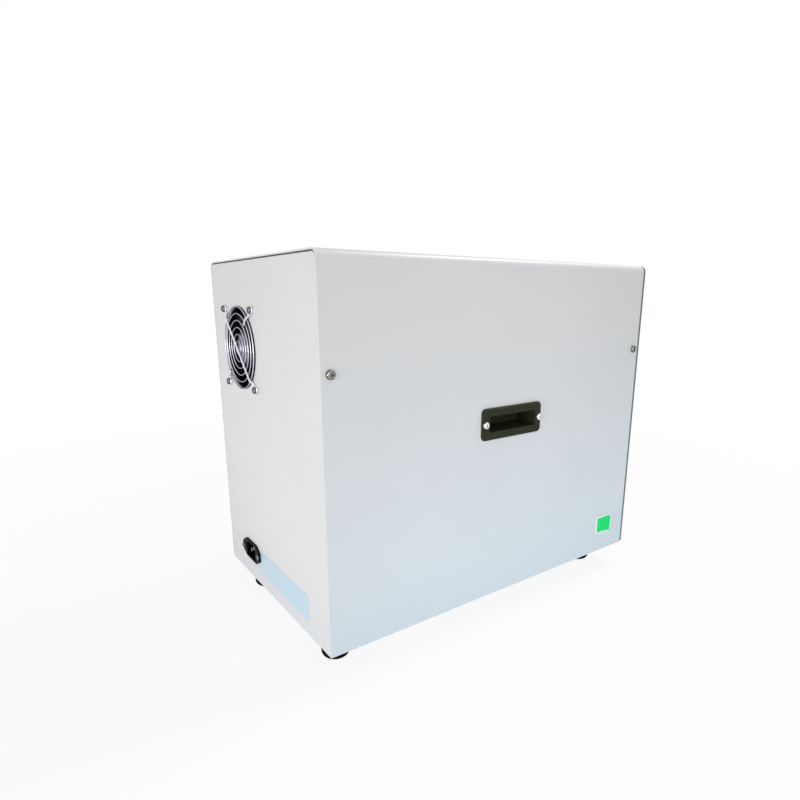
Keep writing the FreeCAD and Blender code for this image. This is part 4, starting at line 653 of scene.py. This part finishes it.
# %% Find each solid of a node
def solids_of(node):
    """Lowest and highest corner of each separate solid in a CAD node."""
    bm = bmesh.new()
    bm.from_mesh(nodes[node].data)
    bmesh.ops.remove_doubles(bm, verts=bm.verts, dist=WELD)
    waiting = set(bm.verts)
    boxes = []
    while waiting:
        front = [waiting.pop()]
        island = list(front)
        while front:
            vert = front.pop()
            for edge in vert.link_edges:
                other = edge.other_vert(vert)
                if other in waiting:
                    waiting.remove(other)
                    island.append(other)
                    front.append(other)
        low = Vector([min(v.co[i] for v in island) for i in range(3)])
        high = Vector([max(v.co[i] for v in island) for i in range(3)])
        boxes.append((low, high))
    bm.free()
    return sorted(boxes, key=lambda box: tuple(box[0]))


print("cover_screws holds", len(solids_of("cover_screws")), "solids")

# %% [markdown]
# Screws, feet and the fan's hub are all turned shapes. A Screw modifier on a drawn curve
# makes them too; here an outline of points is spun once in a bmesh and then stood on its
# seat, because the same few lines serve for every one of them.

# %% Turned parts
def stand(bm, part, seat, outward):
    """Add a part that was made about the Z axis to a bmesh, stood on a seat."""
    part.transform(Matrix.Translation(seat) @ outward.to_track_quat("Z", "Y").to_matrix().to_4x4())
    carrier = bpy.data.meshes.new("carrier")
    part.to_mesh(carrier)
    part.free()
    bm.from_mesh(carrier)
    bpy.data.meshes.remove(carrier)


def spun(points, steps):
    """A bmesh of (radius, height) points spun once about the Z axis."""
    part = bmesh.new()
    verts = [part.verts.new((r, 0.0, h)) for r, h in points]
    edges = [part.edges.new(pair) for pair in zip(verts, verts[1:])]
    bmesh.ops.spin(
        part, geom=verts + edges, cent=(0, 0, 0), axis=(0, 0, 1), angle=math.tau, steps=steps,
        use_merge=True, use_duplicate=False,
    )
    bmesh.ops.remove_doubles(part, verts=part.verts, dist=WELD)
    return part


def arc(middle, radius, start, end, steps):
    """Points of a round stretch in an outline, by angle in degrees."""
    angles = [math.radians(start + (end - start) * i / steps) for i in range(steps + 1)]
    return [(middle[0] + radius * math.cos(a), middle[1] + radius * math.sin(a)) for a in angles]


def far_end(made):
    """The vertices that an extrusion made, and the edges between them."""
    verts = [item for item in made if isinstance(item, bmesh.types.BMVert)]
    edges = [item for item in made if isinstance(item, bmesh.types.BMEdge)]
    return verts, [edge for edge in edges if all(vert in verts for vert in edge.verts)]


print("a quarter round in two steps:", len(arc((0, 0), 1.0, 0, 90, 2)), "points")

# %% [markdown]
# A pan head is pressed from wire, and its cross recess is driven in with a punch. A boolean
# cut would do it, but it leaves long thin faces. Here the head is spun open at the top, the
# cross is drawn there as twelve points, the ring around it is filled, and the outline is
# pushed down with a taper.

# %% Cross recess pan head screw
# Shares of the head: radius of its flat and of its round, height of its skirt and of its round
FLAT_R, ROUND_R, SKIRT_H, ROUND_H = 0.62, 0.38, 0.45, 0.55
# Shares of the recess: length and half width of an arm, depth, and size at the bottom
ARM_R, ARM_HALF, RECESS_H, RECESS_TAPER = 0.46, 0.12, 0.55, 0.7
SCREW_SIDES = 28


def cross_screw(head_r, head_h, shank_r, shank_l):
    """A pan head with a cross recess, standing on z = 0 with its shank below."""
    shoulder = [
        (FLAT_R * head_r + ROUND_R * head_r * x, SKIRT_H * head_h + ROUND_H * head_h * y)
        for x, y in arc((0, 0), 1.0, 90, 0, 5)
    ]
    shank = [(head_r, 0), (shank_r, 0), (shank_r, -shank_l), (0, -shank_l)]
    part = spun(shoulder + shank, SCREW_SIDES)
    rim = [edge for edge in part.edges if edge.is_boundary]
    arm, half = ARM_R * head_r, ARM_HALF * head_r
    corner = [(arm, -half), (arm, half), (half, half)]
    outline = []
    for turn in range(4):
        spin = Matrix.Rotation(turn * math.pi / 2, 3, "Z")
        outline += [part.verts.new(spin @ Vector((x, y, head_h))) for x, y in corner]
    mouth = [part.edges.new((outline[i - 1], outline[i])) for i in range(len(outline))]
    bmesh.ops.triangle_fill(part, use_beauty=True, edges=rim + mouth)
    corners, ring = far_end(bmesh.ops.extrude_edge_only(part, edges=mouth)["geom"])
    bmesh.ops.scale(part, verts=corners, vec=(RECESS_TAPER, RECESS_TAPER, 1.0))
    bmesh.ops.translate(part, verts=corners, vec=(0, 0, -RECESS_H * head_h))
    bmesh.ops.contextual_create(part, geom=ring)
    return part


print("a recess takes", RECESS_H, "of the head's height")

# %% [markdown]
# The oven uses five sizes of screw: through the cover and the pulls at the sides, round the
# fan and beside the inlet at the rear, and up through the feet. A table holds what differs,
# and one loop sets each screw with its head on the outer end of its CAD solid.

# %% All screws
# Radius and height of the head, radius and length of the shank in mm, way out, plating
SCREWS = {
    "cover_screws": ((3.8, 2.6, 1.95, 8.0), "x", zinc_dark_reflection),
    "handle_screws": ((3.3, 2.0, 1.75, 8.0), "x", screw_steel),
    "fan_screws": ((3.3, 2.2, 2.0, 12.0), "y", grey_zinc),
    "inlet_screws": ((2.9, 1.6, 1.45, 8.0), "y", grey_zinc),
    "foot_screws": ((4.0, 2.4, 1.95, 22.0), "z", grey_zinc),
}
for node, (sizes, way, plated) in SCREWS.items():
    head_r, head_h, shank_r, shank_l = [size * MM for size in sizes]
    bm = bmesh.new()
    for low, high in solids_of(node):
        middle = (low + high) / 2
        if way == "x":
            side = 1 if middle.x > 0 else -1
            face = high.x if side > 0 else low.x
            seat, outward = Vector((face - side * head_h, middle.y, middle.z)), Vector((side, 0, 0))
        elif way == "y":
            seat, outward = Vector((middle.x, high.y - head_h, middle.z)), Vector((0, 1, 0))
        else:
            seat, outward = Vector((middle.x, middle.y, low.z + head_h)), Vector((0, 0, -1))
        stand(bm, cross_screw(head_r, head_h, shank_r, shank_l), seat, outward)
    piece = finish_piece(node + "_cross", bm, node, plated)
    print(piece.name, len(piece.data.polygons), "faces")

# %% [markdown]
# ## Rubber feet
# A moulded foot is a body of revolution: a plain wall, a rolled lower edge that lifts off
# the bench, and a well that hides the screw. One outline and one spin make it, four times.

# %% Feet
FOOT_SIDES, FOOT_H, FOOT_R, FOOT_ROUND = 40, 26.0 * MM, 13.0 * MM, 6.0 * MM
FOOT_WELL_R, FOOT_WELL_H, FOOT_SHANK_R, FOOT_LIP = 5.0 * MM, 8.0 * MM, 2.05 * MM, 0.8 * MM
foot_outline = [(FOOT_SHANK_R, FOOT_H)]
foot_outline += arc((FOOT_R - FOOT_LIP, FOOT_H - FOOT_LIP), FOOT_LIP, 90, 0, 4)
foot_outline += arc((FOOT_R - FOOT_ROUND, FOOT_ROUND), FOOT_ROUND, 0, -90, 10)
foot_outline += arc((FOOT_WELL_R + FOOT_LIP, FOOT_LIP), FOOT_LIP, -90, -180, 4)
foot_outline += [(FOOT_WELL_R, FOOT_WELL_H), (FOOT_SHANK_R, FOOT_WELL_H), (FOOT_SHANK_R, FOOT_H)]
UPWARD = Vector((0, 0, 1))
bm = bmesh.new()
for low, high in solids_of("rubber_feet"):
    middle = (low + high) / 2
    stand(bm, spun(foot_outline, FOOT_SIDES), Vector((middle.x, middle.y, low.z)), UPWARD)
feet = finish_piece("moulded_feet", bm, "rubber_feet")
print(feet.name, len(feet.data.polygons), "faces")

# %% [markdown]
# ## The exhaust fan
# The rotor is one moulding, a cup with blades. The cup turns on a thin shaft and is a body
# of revolution, so it is spun from an outline like the feet. Its place and the end of the
# shaft come from the box of the CAD rotor.

# %% Fan hub
HUB_R, HUB_WALL, HUB_ROUND, HUB_DEPTH = 17.0 * MM, 2.4 * MM, 1.5 * MM, 19.5 * MM
SHAFT_R, ROUND_STEPS = 1.6 * MM, 48
REARWARD = Vector((0, 1, 0))
rotor_low, rotor_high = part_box("fan_rotor")
fan_middle = (rotor_low + rotor_high) / 2
hub_top = rotor_high.y
hub_foot = hub_top - HUB_DEPTH
hub_face = Vector((fan_middle.x, hub_top, fan_middle.z))


def fan_hub():
    """A cup about the Z axis with its face at z = 0, and the shaft inside it."""
    depth, inner = hub_top - hub_foot, HUB_R - HUB_WALL
    points = [(0, 0)] + arc((HUB_R - HUB_ROUND, -HUB_ROUND), HUB_ROUND, 90, 0, 4)
    points += [(HUB_R, -depth), (inner, -depth), (inner, -HUB_WALL), (SHAFT_R, -HUB_WALL)]
    points += [(SHAFT_R, rotor_low.y - hub_top), (0, rotor_low.y - hub_top)]
    return spun(points, ROUND_STEPS)


print("hub face at y =", round(hub_top / MM, 2), "mm")

# %% [markdown]
# The blades twist from a steep root to a flatter tip. A blade drawn by hand is hard to
# keep even, so a grid with a few rows is bent by formula: each row is turned to its own
# pitch, cambered, and wrapped round the axis. Solidify gives it its wall, and a spin with
# duplicates repeats it.

# %% Fan blades
BLADES, TIP_R, BLADE_T, CAMBER = 7, 36.4 * MM, 1.3 * MM, 2.0 * MM
ROOT_CHORD, TIP_CHORD = 17.0 * MM, 24.0 * MM
ROOT_PITCH, TIP_PITCH = math.radians(44), math.radians(28)
TIP_SWEEP = math.radians(12)


def fan_blades():
    """All blades about the Z axis, with their middle at z = 0."""
    part = bmesh.new()
    bmesh.ops.create_grid(part, x_segments=8, y_segments=6, size=0.5)
    root = HUB_R - HUB_WALL / 2
    for vert in part.verts:
        along, out = vert.co.x, vert.co.y + 0.5
        radius = root + out * (TIP_R - root)
        chord = ROOT_CHORD + out * (TIP_CHORD - ROOT_CHORD)
        pitch = ROOT_PITCH + out * (TIP_PITCH - ROOT_PITCH)
        run, rise = along * chord, CAMBER * (1 - (2 * along) ** 2)
        turn = (run * math.cos(pitch) - rise * math.sin(pitch)) / radius + TIP_SWEEP * out * out
        height = run * math.sin(pitch) + rise * math.cos(pitch)
        vert.co = (radius * math.cos(turn), radius * math.sin(turn), height)
    bmesh.ops.recalc_face_normals(part, faces=part.faces)
    bmesh.ops.solidify(part, geom=part.faces[:], thickness=BLADE_T)
    others = BLADES - 1
    bmesh.ops.spin(
        part, geom=part.verts[:] + part.edges[:] + part.faces[:], cent=(0, 0, 0), axis=(0, 0, 1),
        angle=math.tau * others / BLADES, steps=others, use_duplicate=True, use_merge=False,
    )
    return part


blade_middle = Vector((fan_middle.x, (hub_top + hub_foot) / 2, fan_middle.z))
bm = bmesh.new()
stand(bm, fan_hub(), hub_face, REARWARD)
stand(bm, fan_blades(), blade_middle, REARWARD)
fan_rotor = finish_piece("moulded_fan_rotor", bm, "fan_rotor")
print(fan_rotor.name, len(fan_rotor.data.polygons), "faces")

# %% [markdown]
# The face of the hub carries a round film, with its violet painted on as a sheen. It could
# be a colour mask on the hub itself, but a film has an edge of its own. A thin spun disc on
# the face has one, and it rides on the rotor's body, so it turns with the blades.

# %% Blank film on the hub
FILM_R, FILM_T = 13.5 * MM, 0.2 * MM
bm = bmesh.new()
film_outline = [(0, FILM_T), (FILM_R - FILM_T, FILM_T), (FILM_R, 0), (0, 0)]
stand(bm, spun(film_outline, ROUND_STEPS), hub_face, REARWARD)
film = finish_piece("blank_hub_film", bm, "fan_rotor", hub_film, False)
print(film.name, "is", round(2 * FILM_R / MM), "mm across")

# %% [markdown]
# ## The wire guard
# The guard is bright wire. Curves with a round bevel would give wires too, but they thin out
# in a sharp bend. Here a ring is a small circle spun about the fan axis. A bent arm is a
# circle extruded from bend to bend, with each new circle slid onto the plane that halves
# the bend, so the wire keeps its gauge.

# %% Wire helpers
WIRE_SIDES = 12


def wire_circle(bm, gauge, place, closed):
    """The cross section of a wire, as vertices and edges."""
    verts = bmesh.ops.create_circle(
        bm, cap_ends=closed, radius=gauge, segments=WIRE_SIDES, matrix=place
    )["verts"]
    return verts, list({edge for vert in verts for edge in vert.link_edges})


def wire_ring(bm, middle, radius, gauge, steps=72):
    """A closed ring of round wire about the Y direction."""
    spot = Matrix.Translation(middle + Vector((radius, 0, 0)))
    verts, edges = wire_circle(bm, gauge, spot, False)
    bmesh.ops.spin(
        bm, geom=verts + edges, cent=middle, axis=(0, 1, 0), angle=math.tau, steps=steps,
        use_merge=True, use_duplicate=False,
    )


def bent_wire(bm, points, gauge):
    """A round wire through points, closed at both ends."""
    ways = [(b - a).normalized() for a, b in zip(points, points[1:])]
    turned = Matrix.Translation(points[0]) @ ways[0].to_track_quat("Z", "Y").to_matrix().to_4x4()
    verts, edges = wire_circle(bm, gauge, turned, True)
    for i, point in enumerate(points[1:]):
        plane = (ways[i] + ways[min(i + 1, len(ways) - 1)]).normalized()
        verts, edges = far_end(bmesh.ops.extrude_edge_only(bm, edges=edges)["geom"])
        for vert in verts:
            vert.co += ways[i] * ((point - vert.co).dot(plane) / ways[i].dot(plane))
    bmesh.ops.contextual_create(bm, geom=edges)


print("a wire has", WIRE_SIDES, "sides")

# %% [markdown]
# The rings lie under the bars, pressed a little into them by the spot welds. They are a
# piece of their own, with a plating whose painted dark reflection starts sooner, because
# thin wire mirrors the dark fan on the sides that turn away.

# %% Guard rings
GAUGE, RING_GAUGE, WELD_SINK = 1.1 * MM, 0.6 * MM, 0.3 * MM
RINGS, FIRST_RING_R, LAST_RING_R = 6, 6.4 * MM, 38.4 * MM
guard_low, guard_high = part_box("fan_guard")
guard_middle = (guard_low + guard_high) / 2
bar_y = guard_high.y - GAUGE
ring_y = bar_y - GAUGE - RING_GAUGE + WELD_SINK
ring_radii = [FIRST_RING_R + i * (LAST_RING_R - FIRST_RING_R) / (RINGS - 1) for i in range(RINGS)]
bm = bmesh.new()
for radius in ring_radii:
    wire_ring(bm, Vector((guard_middle.x, ring_y, guard_middle.z)), radius, RING_GAUGE)
rings = finish_piece("guard_rings", bm, "fan_guard", ring_wire)
print(rings.name, len(rings.data.polygons), "faces on", len(ring_radii), "rings")

# %% [markdown]
# One long bar crosses the fan from corner to corner, and two short arms start near the outer
# rings. Each steps down to the panel and ends in an eye under a screw. The screws say
# where the eyes are, so each arm is drawn from the fan's axis towards its screw.

# %% Guard bars
EYE_GAUGE, EYE_R, EYE_STEPS = 0.9 * MM, 3.2 * MM, 24
KNEE_R, LEG_R = 41.0 * MM, 43.06 * MM
SHORT_ARM_RINGS = 2
seat_y = guard_low.y + GAUGE
axis_point = Vector((guard_middle.x, 0, guard_middle.z))
bm = bmesh.new()
for low, high in solids_of("fan_screws"):
    place = (low + high) / 2
    out = Vector((place.x - guard_middle.x, 0, place.z - guard_middle.z))
    reach = out.length
    out.normalize()
    on_long_bar = out.x * out.z > 0
    start = 0.0 if on_long_bar else ring_radii[-SHORT_ARM_RINGS]
    steps = ((start, bar_y), (KNEE_R - GAUGE, bar_y), (LEG_R, seat_y), (reach - EYE_R, seat_y))
    bent_wire(bm, [axis_point + out * r + Vector((0, y, 0)) for r, y in steps], GAUGE)
    eye_middle = Vector((place.x, guard_low.y + EYE_GAUGE, place.z))
    wire_ring(bm, eye_middle, EYE_R, EYE_GAUGE, EYE_STEPS)
bars = finish_piece("guard_bars", bm, "fan_guard", None, False)
print(bars.name, len(bars.data.polygons), "faces")

# %% [markdown]
# ## Bare label plate
# Low on the rear panel sits a thin pale blue film. A coloured patch in the paint would be
# enough from afar, but a film has an edge that catches the light. A flat cube with four
# rounded corners has one too.

# %% Label plate
LABEL_X, LABEL_Z = (-78.0 * MM, 35.0 * MM), (40.0 * MM, 64.0 * MM)
LABEL_T, LABEL_ROUND, LABEL_STEPS = 0.25 * MM, 2.0 * MM, 6
panel_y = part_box("rear_panel")[1].y
bm = bmesh.new()
bmesh.ops.create_cube(bm, size=1.0)
label_w, label_h = LABEL_X[1] - LABEL_X[0], LABEL_Z[1] - LABEL_Z[0]
bmesh.ops.scale(bm, verts=bm.verts, vec=(label_w, LABEL_T, label_h))
label_middle = Vector((sum(LABEL_X) / 2, panel_y + LABEL_T / 2, sum(LABEL_Z) / 2))
bmesh.ops.translate(bm, verts=bm.verts, vec=label_middle)
upright = [e for e in bm.edges if abs(e.verts[0].co.y - e.verts[1].co.y) > LABEL_T / 2]
round_edges(bm, upright, LABEL_ROUND, LABEL_STEPS)
label = finish_piece("bare_label_plate", bm, "rear_panel", label_film, False)
print(label.name, "is", round(label_w / MM), "mm wide")

# %% [markdown]
# ## Signs on the keys
# Keys without any sign are hard to tell apart. Pad printing would leave a thin layer of
# ink; here it is a thin raised shape cut from plain outlines: bars, triangles, a square.

# %% Key signs
SIGN_SINK, SIGN_RISE = 0.1 * MM, 0.06 * MM
SIGNS = {
    "key_menu": [[(-3.0, z), (3.0, z), (3.0, z + 0.8), (-3.0, z + 0.8)] for z in (-2.4, -0.4, 1.6)],
    "key_down": [[(-3.0, 1.8), (3.0, 1.8), (0.0, -2.2)]],
    "key_up": [[(-3.0, -1.8), (3.0, -1.8), (0.0, 2.2)]],
    "key_start": [[(-1.8, -2.6), (2.7, 0.0), (-1.8, 2.6)]],
    "key_stop": [[(-2.2, -2.2), (2.2, -2.2), (2.2, 2.2), (-2.2, 2.2)]],
}
for node, outlines in SIGNS.items():
    low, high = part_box(node)
    middle = (low + high) / 2
    bm = bmesh.new()
    for outline in outlines:
        corners = [(middle.x + x * MM, low.y + SIGN_SINK, middle.z + z * MM) for x, z in outline]
        back = bm.faces.new([bm.verts.new(corner) for corner in corners])
        front, _ = far_end(bmesh.ops.extrude_face_region(bm, geom=[back])["geom"])
        bmesh.ops.translate(bm, verts=front, vec=(0, -SIGN_SINK - SIGN_RISE, 0))
    sign = finish_piece(node + "_sign", bm, node, sign_ink, False)
    print(sign.name, len(sign.data.polygons), "faces")

# %% [markdown]
# ## Floor, light and camera
# The oven stands on a white sweep, as in a studio. A bent backdrop would hide it from
# behind. Where floor and world are both white no line shows between them, so a plain large
# square is enough.

# %% Floor
FLOOR_SIZE = 12.0
FLOOR_DROP = 0.2 * MM
bm = bmesh.new()
bmesh.ops.create_grid(bm, x_segments=1, y_segments=1, size=FLOOR_SIZE / 2)
bmesh.ops.translate(bm, verts=bm.verts, vec=(0, 0, -FLOOR_DROP))
floor_mesh = bpy.data.meshes.new("floor")
bm.to_mesh(floor_mesh)
bm.free()
floor = bpy.data.objects.new("floor", floor_mesh)
bpy.context.scene.collection.objects.link(floor)
print("floor", FLOOR_SIZE, "m wide")

# %% [markdown]
# Near the oven the floor is mostly white light with a share of pale paint, so a soft shadow
# shows. Further out the share falls to nothing. A Light Path node keeps this white for what
# is looked at; for all other rays the floor is only paint.

# %% Floor finish
SHADOW_REACH = (0.45, 1.1)
SHADOW_SHARE = 0.9


def looked_at(tree):
    """A mask that is 1 for what the camera sees, also in a mirror or through glass."""
    rays = add(tree, "LightPath")
    seen = add(tree, "Math", operation="MAXIMUM")
    shown = add(tree, "Math", operation="MAXIMUM")
    join(tree, rays, "Is Camera Ray", seen, 0)
    join(tree, rays, "Is Glossy Ray", seen, 1)
    join(tree, seen, 0, shown, 0)
    join(tree, rays, "Is Transmission Ray", shown, 1)
    return shown


matt = {"Roughness": 0.9, "Specular IOR Level": 0.1, "Base Color": srgb(250, 250, 250)}
floor_paint, tree, shader = new_material("floor_paint", matt)
place = add(tree, "TexCoord")
distance = add(tree, "VectorMath", operation="LENGTH")
join(tree, place, "Object", distance, 0)
far = remap(tree, distance, "Value", *SHADOW_REACH, SHADOW_SHARE, 1.0)
white = add(tree, "Math", operation="MULTIPLY")
join(tree, looked_at(tree), 0, white, 0)
join(tree, far, 0, white, 1)
glow = add(tree, "Emission", {"Strength": 1.0})
sweep = add(tree, "MixShader")
join(tree, white, 0, sweep, 0)
join(tree, shader, 0, sweep, 1)
join(tree, glow, 0, sweep, 2)
join(tree, sweep, 0, tree.nodes["Material Output"], "Surface")
floor.data.materials.append(floor_paint)
print("the shadow fades out", SHADOW_REACH[1], "m from the middle")

# %% [markdown]
# The world is the white room. At full strength it would light every face alike and wash the
# oven out. The same mask lets it look white and be mirrored white, while it lights the oven
# with less than half of that.

# %% World
WORLD_LIGHT = 0.43
world = bpy.data.worlds.new("white_sweep")
bpy.context.scene.world = world
world.use_nodes = True
tree = world.node_tree
sky = tree.nodes["Background"]
sky.inputs["Color"].default_value = (1.0, 1.0, 1.0, 1.0)
level = remap(tree, looked_at(tree), 0, 0.0, 1.0, WORLD_LIGHT, 1.0)
join(tree, level, 0, sky, "Strength")
print("world light", WORLD_LIGHT)

# %% [markdown]
# Four area lamps model the form, because a sun or a point would draw hard shadows. A wide
# one stands low on the fan's side and makes the rear panel the brightest face, and a weak
# one brightens the middle of the side. A strong one high over the front serves the top. A
# strip near the floor adds the cool light that a bench throws back at the side.

# %% Lamps
def soft_lamp(name, place, aim, size, power, colour=(1.0, 1.0, 1.0), spread=180.0):
    """An area lamp that points at a place; its size is in metres and its spread in degrees."""
    lamp = bpy.data.lights.new(name, "AREA")
    lamp.shape = "RECTANGLE"
    lamp.size, lamp.size_y = size
    lamp.energy = power
    lamp.color = colour
    lamp.spread = math.radians(spread)
    rig = bpy.data.objects.new(name, lamp)
    rig.location = place
    rig.rotation_euler = (Vector(aim) - Vector(place)).to_track_quat("-Z", "Y").to_euler()
    bpy.context.scene.collection.objects.link(rig)


COOL = (0.04, 0.6, 0.95)
soft_lamp("key_lamp", (-0.36, 1.3, 0.22), (-0.15, 0.2, 0.13), (0.8, 0.36), 1.38, spread=76.0)
soft_lamp("side_lamp", (-1.1, 0.14, 0.36), (-0.12, 0.07, 0.21), (0.5, 0.5), 0.2, spread=44.0)
soft_lamp("top_lamp", (-0.15, -1.2, 1.9), (0.0, 0.0, 0.25), (0.6, 0.6), 20.0)
soft_lamp(
    "floor_bounce", (-0.47, -0.02, 0.03), (-0.12, -0.02, 0.02), (0.7, 0.05), 0.12, COOL, 90.0
)
print(len(bpy.data.lights), "lamps placed")

# %% [markdown]
# The camera is set from measured facts rather than by eye: its place, the way that it
# looks, its lens, and the small shift that the framing of the picture needs. The Standard
# view shows white as white.

# %% Camera
CAMERA_PLACE = Vector((-0.4910, 0.4021, 0.3146))
CAMERA_WAY = Vector((0.7818, -0.5769, -0.2366))
CAMERA_ROLL = math.radians(0.18)
camera_data = bpy.data.cameras.new("camera")
camera_data.sensor_width = 36.0
camera_data.lens = 25.497
camera_data.shift_x = -0.0268
camera_data.shift_y = 0.0436
camera_data.clip_start = 0.01
camera = bpy.data.objects.new("camera", camera_data)
facing = CAMERA_WAY.to_track_quat("-Z", "Y").to_matrix().to_4x4()
roll = Matrix.Rotation(CAMERA_ROLL, 4, "Z")
camera.matrix_world = Matrix.Translation(CAMERA_PLACE) @ facing @ roll
bpy.context.scene.collection.objects.link(camera)
bpy.context.scene.camera = camera
bpy.context.scene.view_settings.view_transform = "Standard"
print("lens", camera_data.lens, "mm")
